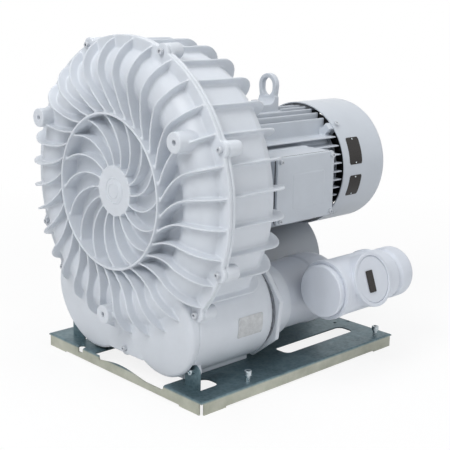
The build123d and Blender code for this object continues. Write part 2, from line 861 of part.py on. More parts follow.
def stator_core():
    return at_axis * tube_x(stator_front_x, stator_front_x + stator_length, frame_bore,
                            stator_bore / 2)


def stator_windings():
    """The winding heads on both ends of the stator stack."""
    heads = []
    inner, outer = stator_bore / 2 + 6, frame_bore - 8
    for x0, x1 in ((stator_front_x - winding_length, stator_front_x),
                   (stator_front_x + stator_length,
                    stator_front_x + stator_length + winding_length)):
        section = fillet(band(x0, x1, inner, outer).vertices(), 7)
        heads.append(turned(section))
    return together(heads)


def rear_shield():
    """The motor's rear shield, which carries the fan end bearing."""
    seat = bearing_outer / 2
    disc = band(frame_end_x, frame_end_x + rear_shield_thickness,
                shaft_bearing_bore / 2 + shield_shaft_gap, rear_shield_radius)
    spigot = band(frame_end_x - spigot_length, frame_end_x, frame_bore - 8,
                  frame_bore - running_gap)
    hub = band(fan_bearing_x, fan_bearing_x + bearing_width + 4, seat, seat + 9)
    cap = band(fan_bearing_x + bearing_width, fan_bearing_x + bearing_width + 4,
               shaft_bearing_bore / 2 + shield_shaft_gap, seat + 9)
    body = turned(disc + spigot + hub + cap)
    return at_axis * (body - turned(band(fan_bearing_x, fan_bearing_x + bearing_width, 0, seat)))


def fan_cowl():
    """The drawn sheet cowl with its ring grille."""
    corner = Pos(cowl_end_x - cowl_corner, cowl_radius - cowl_corner) * Circle(cowl_corner)
    shell = (band(cowl_start_x, cowl_end_x - cowl_corner, 0, cowl_radius) +
             band(cowl_end_x - cowl_corner - 1, cowl_end_x, 0, cowl_radius - cowl_corner) + corner)
    inner_corner = cowl_corner - cowl_sheet
    inner_r = cowl_radius - cowl_sheet
    hollow = (band(cowl_start_x - 1, cowl_end_x - cowl_corner, 0, inner_r) +
              band(cowl_end_x - cowl_corner - 1, cowl_end_x - cowl_sheet, 0,
                   inner_r - inner_corner) +
              Pos(cowl_end_x - cowl_corner, inner_r - inner_corner) * Circle(inner_corner))
    cowl = turned(shell) - turned(hollow)
    slots = []
    for i in range(grille_ring_count):
        r0 = grille_inner_radius + i * (grille_slot + grille_bar)
        slots.append(tube_x(cowl_end_x - cowl_sheet - 1, cowl_end_x + 1, r0 + grille_slot, r0))
    spokes = []
    for angle in steps(grille_spokes // 2, 0, 360 / grille_spokes):
        bar = block(cowl_end_x - cowl_sheet - 2, cowl_end_x + 2, -grille_bar / 2, grille_bar / 2,
                    -cowl_radius, cowl_radius)
        spokes.append(spun(bar, angle))
    cowl = cowl - [slot - spokes for slot in slots]
    return at_axis * (cowl - cowl_screw_holes())


def cowl_screw_holes():
    holes = []
    for angle in steps(4, 45):
        hole = extrude(Plane.XY.offset(cowl_radius - 14) * Circle(cowl_screw_size / 2), 20)
        holes.append(spun(Rot(90, 0, 0) * Pos(cowl_screw_x, 0, 0) * hole, angle))
    return holes


def cowl_screws():
    screws = []
    screw = socket_screw(cowl_screw_size, 12, 1.9)
    for angle in steps(4, 45):
        screws.append(spun(Rot(90, 0, 0) * Pos(cowl_screw_x, 0, cowl_radius + 0.1) * screw, angle))
    return together(screws)


# ---------------------------------------------------------------- terminal box and lug
def box_outline(x_margin=0.0):
    x = box_start_x + box_length / 2
    width = box_length - 2 * x_margin
    height = box_height - 2 * x_margin
    return Pos(x, -box_centre_drop) * RectangleRounded(width, height, box_corner)


def upright(y):
    """A plane facing the near side, with X along the shaft and Z up."""
    return Plane(origin=(0, y, 0), x_dir=(1, 0, 0), z_dir=(0, -1, 0))


def box_screw_places():
    x = box_start_x + box_length / 2
    dx = box_length / 2 - box_screw_inset
    dz = box_height / 2 - box_screw_inset
    return [(x + a * dx, -box_centre_drop + b * dz) for a in sides for b in sides]


def box_screw_holes(y, depth):
    return [extrude(upright(y + depth) * Pos(x, z) * Circle(box_screw_size / 2), depth + 0.01)
            for x, z in box_screw_places()]


def terminal_box():
    """The cast terminal box with its cable entries on the fan side."""
    depth = box_face_y - box_cover - gasket_thickness / 2 - box_seat_y
    body = extrude(upright(-box_seat_y) * box_outline(), depth)
    x = box_start_x + box_length / 2
    cavity = Pos(x, -box_centre_drop) * RectangleRounded(box_length - 2 * box_wall,
                                                         box_height - 2 * box_wall, 4)
    posts = [Pos(px, pz) * Circle(box_screw_inset) for px, pz in box_screw_places()]
    for post in posts:
        cavity = cavity - post
    body = body - extrude(upright(-box_seat_y - box_wall) * cavity, depth)
    wire_way = Pos(x, -box_centre_drop) * Rectangle(44, 30)
    body = body - extrude(upright(-box_seat_y) * wire_way, box_wall + 1)
    x1 = box_start_x + box_length
    entries = [rod_x(x1 - box_wall - 1, x1 + 1, gland_thread / 2, -box_seat_y - depth / 2, z)
               for z in gland_heights()]
    return at_axis * (body - entries - box_screw_holes(-box_seat_y - depth, depth))


def terminal_gasket():
    y = box_face_y - box_cover - gasket_thickness / 2
    ring = box_outline() - box_outline(box_wall + box_screw_inset)
    sheet = extrude(upright(-y) * ring, gasket_thickness / 2)
    return at_axis * (sheet - box_screw_holes(-y - gasket_thickness / 2, gasket_thickness))


def terminal_cover():
    y = box_face_y - box_cover
    lid = extrude(upright(-y) * box_outline(), box_cover)
    lid = fillet(lid.faces().sort_by(Axis.Y)[0].edges(), 2.5)
    x = box_start_x + box_length / 2
    label_face = Pos(x + 8, -box_centre_drop - 4) * RectangleRounded(96, 72, 3)
    lid = lid + extrude(upright(-box_face_y + 0.5) * label_face, 1.3)
    return at_axis * (lid - box_screw_holes(-box_face_y - 2, box_cover + 4))


def terminal_screws():
    screw = socket_screw(box_screw_size, box_cover + 30, 1.75)
    return together([Pos(x, -box_face_y, z) * Rot(90, 0, 0) * screw
                     for x, z in box_screw_places()])


def terminal_board():
    """The insulating board with six studs, on the floor of the box."""
    x = box_start_x + box_length / 2
    y = -box_seat_y - box_wall
    board = block(x - 40, x + 40, y - 12, y, 22 - box_centre_drop, 52 - box_centre_drop)
    studs = []
    for i in range(3):
        for z in (30, 44):
            stud = extrude(upright(y - 12) * Pos(x + (i - 1) * 24, z - box_centre_drop) *
                           Circle(3), 14)
            studs.append(stud)
    return at_axis * (board + studs)


def gland_heights():
    """Heights of the two cable entries above the shaft: the gland, then the blank plug."""
    return (-box_centre_drop + gland_spread / 2, -box_centre_drop - gland_spread / 2)


def cable_glands():
    """A gland and a blanking plug on the fan side of the terminal box."""
    depth = box_face_y - box_cover - gasket_thickness / 2 - box_seat_y
    mid_y = -box_seat_y - depth / 2
    x1 = box_start_x + box_length
    fittings = []
    for z, head in zip(gland_heights(), (gland_head, blank_head)):
        nut = extrude(Plane.YZ.offset(x1) * Pos(mid_y, z) *
                      RegularPolygon(gland_thread * 0.72, 6), head)
        body = rod_x(x1 - box_wall, x1, gland_thread / 2, mid_y, z) + nut
        if head == gland_head:
            body = body - rod_x(x1 - box_wall - 1, x1 + head + 1, gland_thread / 3, mid_y, z)
        fittings.append(body)
    return together(fittings)


def lifting_lug():
    """The lifting eye: an upright plate on a foot screwed to the motor frame."""
    hole_z = lug_hole_rise
    eye = lug_width / 2
    plate = Pos(0, hole_z) * Circle(eye) + Pos(0, (hole_z + lug_seat) / 2) * Rectangle(
        lug_width, hole_z - lug_seat)
    slot = SlotCenterToCenter(lug_hole_stretch, lug_hole, rotation=90)
    plate = plate - Pos(0, hole_z) * slot
    body = extrude(Plane.YZ.offset(lug_x - lug_thickness / 2) * plate, lug_thickness)
    foot = block(lug_x - lug_foot_length, lug_x, -lug_width / 2, lug_width / 2, lug_seat,
                 lug_seat + lug_foot_height)
    holes = [extrude(Plane.XY.offset(lug_seat - 1) * Pos(x, y) * Circle(lug_screw / 2 + 0.4),
                     lug_foot_height + 2) for x, y in lug_screw_places()]
    return at_axis * (body + foot - holes)


def lug_screws():
    screw = socket_screw(lug_screw, lug_foot_height + 14)
    return together([Pos(x, y, lug_seat + lug_foot_height) * screw
                     for x, y in lug_screw_places()])


# ---------------------------------------------------------------- silencers and ports
def port_disc(radius, side):
    """A round outline on a port's centre, in the plane across the shaft."""
    return Pos(side * port_y, port_drop) * Circle(radius)


def port_screw_places(side):
    return [(side * port_y + port_screw_pitch_radius * cos(radians(a)),
             port_drop + port_screw_pitch_radius * sin(radians(a)))
            for a in steps(6, port_screw_phase)]


def silencer_liners():
    """The foam lining of both silencer chambers behind the channel casing."""
    outer = silencer_radius - silencer_wall
    x1 = silencer_rear_x - silencer_wall
    clear = rod_x(parting_x, casing_rear_x, casing_radius + liner_gap)
    tubes = [tube_x(casing_rear_x - liner_length, x1, outer, outer - liner_thickness,
                    side * silencer_y, silencer_drop) - clear for side in sides]
    mouths = [rod_x(x1 - liner_thickness, x1, port_radius, side * port_y, port_drop)
              for side in sides]
    return together([tube - mouth for tube, mouth in zip(tubes, mouths)])


def port_gasket(side):
    ring = port_disc(hex_apothem - 4, side) - port_disc(port_radius, side)
    for y, z in port_screw_places(side):
        ring = ring - Pos(y, z) * Circle(flange_hole / 2)
    return at_axis * extrude(Plane.YZ.offset(silencer_rear_x) * ring, gasket_thickness)


def port_flange(side):
    """A six sided flange plate with the neck that the pipework is pushed onto."""
    x0 = silencer_rear_x + gasket_thickness
    turn = hex_turn if side < 0 else 180 - hex_turn
    plate = Pos(side * port_y, port_drop) * Rot(0, 0, turn) * RegularPolygon(
        hex_apothem, 6, major_radius=False)
    body = extrude(Plane.YZ.offset(x0) * plate, hex_thickness)
    body = chamfer(body.edges().group_by(Axis.X)[-1], 2)
    neck = extrude(Plane.YZ.offset(x0) * port_disc(neck_radius, side), neck_length)
    bore = extrude(Plane.YZ.offset(x0 - 1) * port_disc(neck_radius - pipe_wall, side),
                   neck_length + 2)
    holes = [rod_x(x0 - 1, x0 + hex_thickness + 1, flange_hole / 2, y, z)
             for y, z in port_screw_places(side)]
    return at_axis * (body + neck - bore - holes)


def port_screws(side):
    x1 = silencer_rear_x + gasket_thickness + hex_thickness
    screw = socket_screw(flange_screw_size, hex_thickness + gasket_thickness + silencer_wall)
    return together([facing_x(screw, x1, y, z, False) for y, z in port_screw_places(side)])


# ---------------------------------------------------------------- outlet pipework
def tee_place():
    """Where the run of the outlet cross lies: its X axis is the run, -Y side tilted up."""
    return Pos(tee_x, -tee_y, tee_height - axis_height) * Rot(-tee_tilt, 0, 0)


def branch_rod(y0, y1, radius):
    """A rod along the branch line of the cross; y0 and y1 count outwards from the run."""
    rod = extrude(Plane.XZ.offset(y0) * Circle(radius), y1 - y0)
    return tee_place() * rod


def run_rod(x0, x1, radius):
    """A rod along the run of the cross."""
    return rod_x(x0, x1, radius, -tee_y, tee_height - axis_height)


def outlet_manifold():
    """The closed collecting pipe on the outlet's neck, with a hole towards the cross."""
    outline = band(manifold_x, manifold_end_x, 0, manifold_radius)
    corner_r = manifold_edge
    outline = fillet(outline.vertices().group_by(Axis.Y)[-1], corner_r)
    inner = band(manifold_x + pipe_wall, manifold_end_x - pipe_wall, 0,
                 manifold_radius - pipe_wall)
    shell = revolve(Plane.XZ * outline, Axis.X, 360) - revolve(Plane.XZ * inner, Axis.X, 360)
    shell = Pos(0, -port_y, port_drop) * shell
    neck_hole = rod_x(manifold_x - 1, manifold_x + pipe_wall + 1, neck_radius, -port_y, port_drop)
    side_hole = branch_rod(-tee_y, -tee_radius, leg_radius)
    return at_axis * (shell - neck_hole - side_hole)


def outlet_cross():
    """The four way fitting: run along the shaft, one leg to the manifold, one to the side."""
    run = run_rod(tee_front_x, tee_rear_x, tee_radius)
    rings = [run_rod(tee_front_x, tee_front_x + tee_ring, tee_radius + tee_ring_rise),
             run_rod(tee_rear_x - tee_ring, tee_rear_x, tee_radius + tee_ring_rise)]
    side = branch_rod(0, branch_reach, branch_radius)
    rim = branch_rod(branch_reach - tee_ring / 2, branch_reach, branch_radius + tee_ring_rise)
    manifold_clear = rod_x(manifold_x, manifold_end_x, manifold_radius - pipe_wall - 2,
                           -port_y, port_drop)
    leg = branch_rod(-leg_reach, 0, leg_radius) - manifold_clear
    body = run + rings + side + rim + leg
    bore = run_rod(tee_front_x - 1, tee_rear_x + 1, tee_radius - tee_wall)
    side_bore = branch_rod(0, branch_reach + 1, branch_radius - pipe_wall)
    leg_bore = branch_rod(-leg_reach - 1, 0, leg_radius - pipe_wall)
    return at_axis * (body - bore - side_bore - leg_bore)


def outlet_sleeve():
    """The rubber sleeve round the leg between the cross and the manifold."""
    sleeve = branch_rod(-leg_reach - 20, 0, leg_radius + sleeve_wall)
    sleeve = sleeve - branch_rod(-leg_reach - 30, 10, leg_radius)
    manifold = rod_x(manifold_x, manifold_end_x, manifold_radius, -port_y, port_drop)
    reach = 2 * manifold_radius
    beyond = block(tee_x - reach, tee_x + reach, -port_y, port_y, port_drop - reach,
                   port_drop + reach)
    return at_axis * (sleeve - manifold - beyond - run_rod(tee_front_x, tee_rear_x, tee_radius))


def capped(length, radius, wall):
    """A cap along X: closed at x = 0, with a rounded edge and an open rear."""
    outline = band(0, length, 0, radius)
    outline = fillet(outline.vertices().sort_by(Axis.Y)[-2:].sort_by(Axis.X)[0], cap_edge)
    inner = band(wall, length + 1, 0, radius - wall)
    return revolve(Plane.XZ * (outline - inner), Axis.X, 360)


def front_plug():
    place = Pos(plug_face_x, -tee_y, tee_height - axis_height)
    length = tee_front_x - plug_face_x + plug_depth
    return at_axis * place * capped(length, tee_radius - tee_wall, pipe_wall)


def branch_cap():
    cap = capped(plug_depth, branch_radius - pipe_wall, pipe_wall)
    return at_axis * tee_place() * Pos(0, -branch_reach + cap_recess, 0) * Rot(0, 0, 90) * cap


def nozzle_adapter():
    """The reducer between the cross and the outlet nozzle."""
    inner = tee_radius - tee_wall
    spigot = run_rod(tee_rear_x - adapter_spigot, tee_rear_x + 1, inner)
    body = run_rod(tee_rear_x, adapter_end_x, adapter_radius) + spigot
    return at_axis * (body - run_rod(tee_rear_x - adapter_spigot - 1, adapter_end_x + 1,
                                     inner - pipe_wall))


def outlet_nozzle():
    """The open nozzle with its rounded mouth."""
    inner = tee_radius - tee_wall - pipe_wall
    x0 = adapter_end_x
    outline = band(x0, nozzle_end_x, 0, nozzle_radius)
    outline = fillet(outline.vertices().group_by(Axis.X)[-1].sort_by(Axis.Y)[-1], nozzle_edge)
    body = revolve(Plane.XZ * outline, Axis.X, 360)
    body = body + rod_x(x0 - plug_depth, x0 + 1, inner)
    body = body - rod_x(x0 - plug_depth - 1, nozzle_end_x + 1, nozzle_bore / 2)
    return at_axis * Pos(0, -tee_y, tee_height - axis_height) * body


# ---------------------------------------------------------------- inlet filter
def inlet_canister():
    """The filter canister on the inlet's neck."""
    x1 = canister_end_x - canister_lid
    can = rod_x(canister_x, x1, canister_radius, silencer_y, silencer_drop)
    can = can - rod_x(canister_x + canister_wall, x1 + 1, canister_radius - canister_wall,
                      silencer_y, silencer_drop)
    neck = rod_x(canister_x - 1, canister_x + canister_wall + 1, neck_radius, port_y, port_drop)
    return at_axis * (can - neck)


def canister_lid_part():
    """The lid with the intake's collar."""
    x0 = canister_end_x - canister_lid
    outline = band(x0, canister_end_x, 0, canister_radius)
    outline = fillet(outline.vertices().group_by(Axis.X)[-1].sort_by(Axis.Y)[-1], lid_edge)
    outline = outline + band(x0 - lid_overlap, x0 + 1, 0, canister_radius - canister_wall)
    outline = outline - band(x0 - lid_overlap - 1, canister_end_x - canister_wall, 0,
                             canister_radius - 2 * canister_wall)
    collar = band(canister_end_x - filter_grip, canister_end_x + intake_stand,
                  inlet_port_radius, inlet_port_radius + pipe_wall)
    lid = revolve(Plane.XZ * outline, Axis.X, 360) - rod_x(x0 - lid_overlap - 1, canister_end_x + 1, inlet_port_radius)
    lid = lid + revolve(Plane.XZ * collar, Axis.X, 360)
    return at_axis * Pos(0, silencer_y, silencer_drop) * lid


def filter_element():
    """The pleated cartridge, gripped by the intake's collar and a seat on the front."""
    x0 = filter_front_x
    x1 = canister_end_x - canister_wall
    points = []
    for i in range(filter_pleats):
        for share, radius in ((0, filter_outer_radius), (0.5, filter_inner_radius + 6)):
            a = radians(360 * (i + share) / filter_pleats)
            points.append((radius * cos(a), radius * sin(a)))
    pleats = make_face(Polyline(*points, close=True)) - Circle(filter_inner_radius)
    media = extrude(Plane.YZ.offset(x0) * pleats, x1 - x0)
    rings = [tube_x(x0, x0 + filter_end, filter_outer_radius + 2, filter_inner_radius),
             tube_x(x1 - filter_end, x1, filter_outer_radius + 2, filter_inner_radius)]
    return at_axis * Pos(0, silencer_y, silencer_drop) * (media + rings)


# ---------------------------------------------------------------- base plate
def tab(side):
    """A bent-up tab with a rounded top and a screw hole."""
    y_mid = side * (tab_inner_y + tab_width / 2)
    plate = Pos(y_mid, tab_height / 2) * Rectangle(tab_width, tab_height)
    plate = fillet(plate.vertices().group_by(Axis.Y)[-1], tab_width * 0.36)
    plate = plate - Pos(y_mid, tab_screw_height) * Circle(tab_screw_size / 2 + fit_gap)
    x0 = tab_x - base_sheet / 2
    return Pos(0, 0, base_height - base_sheet) * extrude(Plane.YZ.offset(x0) * plate, base_sheet)


def tab_window(side):
    """The hole in the sheet that the tab is bent up from."""
    y_mid = side * (tab_inner_y + tab_width / 2)
    x0 = tab_x + base_sheet / 2
    hole = Pos(x0 + tab_window_length / 2, y_mid) * Rectangle(tab_window_length, tab_width)
    return fillet(hole.vertices().group_by(Axis.X)[-1], tab_width * 0.36)


def base_plate():
    """The folded sheet base with flanges on all sides, feet, tabs and windows."""
    x_half, y_half = base_length / 2, base_width / 2
    outline = extrude(Rectangle(base_length, base_width), base_height)
    outline = fillet(outline.edges().group_by(Axis.Z)[-1], base_bend)
    inner = extrude(Rectangle(base_length - 2 * base_sheet, base_width - 2 * base_sheet),
                    base_height - base_sheet)
    inner = fillet(inner.edges().group_by(Axis.Z)[-1], base_bend - base_sheet)
    body = outline - inner
    for sx in sides:
        for sy in sides:
            gap = base_corner_gap
            body = body - block(min(sx * x_half, sx * (x_half - gap)),
                                max(sx * x_half, sx * (x_half - gap)),
                                min(sy * y_half, sy * (y_half - gap)),
                                max(sy * y_half, sy * (y_half - gap)), -1, base_height - 4)
    raised = base_foot_rise
    body = body - block(-x_half + base_foot_length, x_half - base_foot_length,
                        -y_half - 1, y_half + 1, -1, raised)
    body = body - block(-x_half - 1, x_half + 1, -y_half + base_foot_length,
                        y_half - base_foot_length, -1, raised)
    top = base_height - base_sheet - base_bend
    notch = block(-x_half + base_sheet + 0.01, -x_half + front_notch_depth, -front_notch_left,
                  front_notch_right, top, base_height + 1)
    notch = fillet(notch.edges().filter_by(Axis.Z).group_by(Axis.X)[-1], 24)
    dip = base_height - front_scallop_drop
    scallop = block(-x_half - 1, -x_half + base_sheet + 2, -front_notch_left,
                    front_notch_right - 18, dip, base_height + 1)
    scallop = fillet(scallop.edges().filter_by(Axis.X).group_by(Axis.Z)[0], 8)
    body = body - notch - scallop
    window = Pos(window_start + window_length / 2, -window_outer_y + window_width / 2) * \
        RectangleRounded(window_length, window_width, window_corner)
    cuts = [window, tab_window(-1), tab_window(1)]
    cuts += [Pos(x, y) * Circle(plate_hole / 2) for x, y in plate_holes]
    cuts += [Pos(x, y) * Circle(stud_size / 2) for x, y in stud_places()]
    for cut in cuts:
        body = body - extrude(Plane.XY.offset(base_height - base_sheet - 4) * cut, 10)
    return body + [tab(side) for side in sides]


def stud_places():
    return [(stud_shift_x + sx * stud_pitch_x / 2, sy * stud_pitch_y / 2)
            for sx in sides for sy in sides]


def hold_down_screws():
    """Upright socket screws with a nut on the sheet and one below it."""
    screw = socket_screw(stud_size, stud_stand + base_height - base_foot_rise - 4)
    above = extrude(RegularPolygon(stud_head * 0.56, 6), stud_nut)
    below = extrude(Plane.XY.offset(-base_sheet - stud_nut) * RegularPolygon(stud_head * 0.56, 6),
                    stud_nut)
    screws = []
    for x, y in stud_places():
        stud = Pos(0, 0, stud_stand) * screw + above + below
        screws += (Pos(x, y, base_height) * stud).solids()
    return Compound(screws)


def tab_screws():
    """The screws through the tabs into the housing's ears."""
    screw = socket_screw(tab_screw_size, base_sheet + ear_depth - 1)
    x0 = tab_x - base_sheet / 2
    z = base_height - base_sheet + tab_screw_height
    return Compound([solid for side in sides
                     for solid in facing_x(screw, x0, side * (tab_inner_y + tab_width / 2),
                                           z).solids()])


# ---------------------------------------------------------------- export
nodes = {
    "base_plate": base_plate,
    "hold_down_screws": hold_down_screws,
    "tab_screws": tab_screws,
    "rear_housing": rear_housing,
    "front_cover": front_cover,
    "flange_screws": flange_screws,
    "silencer_liners": silencer_liners,
    "impeller": impeller,
    "impeller_key": impeller_key,
    "impeller_washer": impeller_washer,
    "impeller_screw": impeller_screw,
    "shaft": shaft,
    "rotor_core": rotor_core,
    "cooling_fan": cooling_fan,
    "bearing_inner_rings": lambda: bearing_rings(True),
    "bearing_outer_rings": lambda: bearing_rings(False),
    "drive_bearing_balls": lambda: bearing_balls(drive_bearing_x),
    "fan_bearing_balls": lambda: bearing_balls(fan_bearing_x),
    "shaft_seal": shaft_seal,
    "drive_shield": drive_shield,
    "motor_frame": motor_frame,
    "stator_core": stator_core,
    "stator_windings": stator_windings,
    "rear_shield": rear_shield,
    "fan_cowl": fan_cowl,
    "cowl_screws": cowl_screws,
    "terminal_box": terminal_box,
    "terminal_gasket": terminal_gasket,
    "terminal_cover": terminal_cover,
    "terminal_screws": terminal_screws,
    "terminal_board": terminal_board,
    "cable_glands": cable_glands,
    "lifting_lug": lifting_lug,
    "lug_screws": lug_screws,
    "outlet_gasket": lambda: port_gasket(-1),
    "outlet_flange": lambda: port_flange(-1),
    "outlet_flange_screws": lambda: port_screws(-1),
    "outlet_manifold": outlet_manifold,
    "outlet_sleeve": outlet_sleeve,
    "outlet_cross": outlet_cross,
    "run_plug": front_plug,
    "branch_cap": branch_cap,
    "nozzle_adapter": nozzle_adapter,
    "outlet_nozzle": outlet_nozzle,
    "inlet_gasket": lambda: port_gasket(1),
    "inlet_flange": lambda: port_flange(1),
    "inlet_flange_screws": lambda: port_screws(1),
    "inlet_canister": inlet_canister,
    "canister_lid": canister_lid_part,
    "filter_element": filter_element,
}

os.makedirs("parts", exist_ok=True)
for name, build in nodes.items():
    export_step(build(), "parts/" + name + ".step")
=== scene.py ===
import json
import math

import bpy
import bmesh
import numpy as np
from mathutils import Matrix, Vector


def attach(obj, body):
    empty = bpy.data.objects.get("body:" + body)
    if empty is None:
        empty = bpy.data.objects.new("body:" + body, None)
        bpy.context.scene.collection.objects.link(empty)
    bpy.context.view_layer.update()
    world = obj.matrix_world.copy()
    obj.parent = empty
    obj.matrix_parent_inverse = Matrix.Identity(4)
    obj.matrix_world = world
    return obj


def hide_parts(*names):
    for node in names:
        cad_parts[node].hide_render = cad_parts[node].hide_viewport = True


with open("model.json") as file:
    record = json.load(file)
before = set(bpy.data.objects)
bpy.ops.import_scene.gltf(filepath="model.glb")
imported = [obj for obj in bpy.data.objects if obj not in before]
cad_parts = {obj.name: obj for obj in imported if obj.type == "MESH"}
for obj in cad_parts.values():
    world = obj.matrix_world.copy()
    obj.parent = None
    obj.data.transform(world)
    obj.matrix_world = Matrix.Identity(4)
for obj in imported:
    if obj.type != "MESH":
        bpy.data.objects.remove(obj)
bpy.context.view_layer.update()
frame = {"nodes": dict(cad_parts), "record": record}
nodes = frame["nodes"]
slot_of = {s["node"]: s["material_slot"] for s in frame["record"]["subparts"]}

SHAFT_Z = 0.403


# ------------------------------------------------------------------ colours
def srgb(r, g, b):
    """Linear colour from 0-255 values."""
    def one(v):
        v = v / 255.0
        return v / 12.92 if v <= 0.04045 else ((v + 0.055) / 1.055) ** 2.4
    return (one(r), one(g), one(b), 1.0)


# ------------------------------------------------------------------ materials
class Tree:
    """A small helper round a material's node tree."""

    def __init__(self, name):
        self.material = bpy.data.materials.new(name)
        self.material.use_nodes = True
        self.nodes = self.material.node_tree.nodes
        self.links = self.material.node_tree.links
        self.shader = self.nodes["Principled BSDF"]
        coordinates = self.nodes.new("ShaderNodeTexCoord")
        self.place = coordinates.outputs["Object"]

    def noise(self, scale, detail, rough, stretch=None):
        """Cloudy noise of a scale per metre, longer along an axis whose stretch is small."""
        node = self.nodes.new("ShaderNodeTexNoise")
        node.inputs["Scale"].default_value = scale
        node.inputs["Detail"].default_value = detail
        node.inputs["Roughness"].default_value = rough
        source = self.place
        if stretch:
            mapping = self.nodes.new("ShaderNodeMapping")
            mapping.inputs["Scale"].default_value = stretch
            self.links.new(source, mapping.inputs["Vector"])
            source = mapping.outputs["Vector"]
        self.links.new(source, node.inputs["Vector"])
        return node.outputs["Fac"]

    def voronoi(self, scale):
        node = self.nodes.new("ShaderNodeTexVoronoi")
        node.inputs["Scale"].default_value = scale
        self.links.new(self.place, node.inputs["Vector"])
        return node.outputs["Distance"]

    def axis(self, letter):
        node = self.nodes.new("ShaderNodeSeparateXYZ")
        self.links.new(self.place, node.inputs["Vector"])
        return node.outputs[letter]

    def ramp(self, value, stops):
        """A colour that follows a value through (position, colour) stops."""
        node = self.nodes.new("ShaderNodeValToRGB")
        elements = node.color_ramp.elements
        while len(elements) < len(stops):
            elements.new(0.5)
        for element, (position, colour) in zip(elements, stops):
            element.position = position
            element.color = colour
        self.links.new(value, node.inputs["Fac"])
        return node.outputs["Color"]

    def spread(self, value, low, high, out_low=0.0, out_high=1.0):
        """A value's stretch from low to high, mapped onto out_low to out_high."""
        node = self.nodes.new("ShaderNodeMapRange")
        node.inputs["From Min"].default_value = low
        node.inputs["From Max"].default_value = high
        node.inputs["To Min"].default_value = out_low
        node.inputs["To Max"].default_value = out_high
        self.links.new(value, node.inputs["Value"])
        return node.outputs["Result"]

    def math(self, operation, a, b):
        node = self.nodes.new("ShaderNodeMath")
        node.operation = operation
        for socket, value in zip(node.inputs, (a, b)):
            if isinstance(value, (int, float)):
                socket.default_value = value
            else:
                self.links.new(value, socket)
        return node.outputs[0]

    def mix(self, factor, a, b):
        node = self.nodes.new("ShaderNodeMix")
        node.data_type = "RGBA"
        for socket, value in ((node.inputs[0], factor), (node.inputs[6], a),
                              (node.inputs[7], b)):
            if isinstance(value, (int, float, tuple)):
                socket.default_value = value
            else:
                self.links.new(value, socket)
        return node.outputs[2]

    def bump(self, height, strength, distance, before=None):
        """A normal that shows a height as relief, on top of the normal before it."""
        node = self.nodes.new("ShaderNodeBump")
        node.inputs["Strength"].default_value = strength
        node.inputs["Distance"].default_value = distance
        self.links.new(height, node.inputs["Height"])
        if before is not None:
            self.links.new(before, node.inputs["Normal"])
        return node.outputs["Normal"]

    def set(self, **sockets):
        """Sets or links the shader's sockets by name and returns the material."""
        for name, value in sockets.items():
            socket = self.shader.inputs[name.replace("_", " ")]
            if isinstance(value, (int, float, tuple)):
                socket.default_value = value
            else:
                self.links.new(value, socket)
        return self.material


def shade(colour, factor):
    """A colour made darker or lighter by a factor."""
    return tuple(min(c * factor, 1.0) for c in colour[:3]) + (1.0,)


def painted_cast(name, colour, grain=1.0, roughness=0.42):
    """Satin paint over sand cast aluminium: orange peel, cast grain, a little dust."""
    t = Tree(name)
    cloud = t.noise(9.0, 5.0, 0.6)
    mottled = t.ramp(cloud, [(0.30, shade(colour, 0.93)), (0.72, shade(colour, 1.04))])
    speck = t.spread(t.noise(900.0, 2.0, 0.5), 0.60, 0.72)
    tinted = t.mix(t.math("MULTIPLY", speck, 0.10), mottled, shade(colour, 0.72))
    peel = t.noise(420.0, 3.0, 0.55)
    sand = t.noise(1300.0, 2.0, 0.6)
    waves = t.noise(38.0, 2.0, 0.5)
    normal = t.bump(waves, 0.22 * grain, 0.0006)
    normal = t.bump(peel, 0.35 * grain, 0.00025, normal)
    normal = t.bump(sand, 0.25 * grain, 0.00010, normal)
    gloss = t.spread(cloud, 0.3, 0.7, roughness - 0.05, roughness + 0.07)
    return t.set(Base_Color=tinted, Roughness=gloss, Normal=normal,
                 Coat_Weight=0.12, Coat_Roughness=0.3)


def painted_sheet(name, colour, roughness=0.36):
    """Powder coat on drawn sheet: smooth, with a faint waviness."""
    t = Tree(name)
    cloud = t.noise(7.0, 4.0, 0.5)
    tinted = t.ramp(cloud, [(0.30, shade(colour, 0.95)), (0.70, shade(colour, 1.03))])
    normal = t.bump(t.noise(24.0, 2.0, 0.5), 0.16, 0.0005)
    normal = t.bump(t.noise(600.0, 2.0, 0.5), 0.18, 0.00012, normal)
    gloss = t.spread(t.noise(40.0, 3.0, 0.6), 0.3, 0.7, roughness - 0.04, roughness + 0.06)
    return t.set(Base_Color=tinted, Roughness=gloss, Normal=normal,
                 Coat_Weight=0.15, Coat_Roughness=0.25)


def moulded(name, colour, roughness=0.45):
    """Injection moulded plastic with flow marks and fine grain."""
    t = Tree(name)
    flow = t.noise(14.0, 3.0, 0.5, stretch=(1.0, 2.2, 1.0))
    tinted = t.ramp(flow, [(0.32, shade(colour, 0.965)), (0.70, shade(colour, 1.025))])
    normal = t.bump(t.noise(1100.0, 2.0, 0.5), 0.2, 0.00012)
    gloss = t.spread(flow, 0.3, 0.7, roughness - 0.05, roughness + 0.05)
    return t.set(Base_Color=tinted, Roughness=gloss, Normal=normal)


def bright_metal(name, colour, roughness, tint=None):
    """Bare or plated metal with fine marks."""
    t = Tree(name)
    marks = t.noise(260.0, 4.0, 0.6)
    cloud = t.noise(30.0, 3.0, 0.55)
    tinted = t.ramp(cloud, [(0.3, shade(colour, 0.82)), (0.7, tint or shade(colour, 1.08))])
    gloss = t.spread(marks, 0.3, 0.7, roughness - 0.08, roughness + 0.12)
    normal = t.bump(marks, 0.22, 0.00010)
    return t.set(Base_Color=tinted, Roughness=gloss, Normal=normal, Metallic=1.0)


FLANGE_TOP_Z, SHEET_TOP_Z = 0.0225, 0.0262


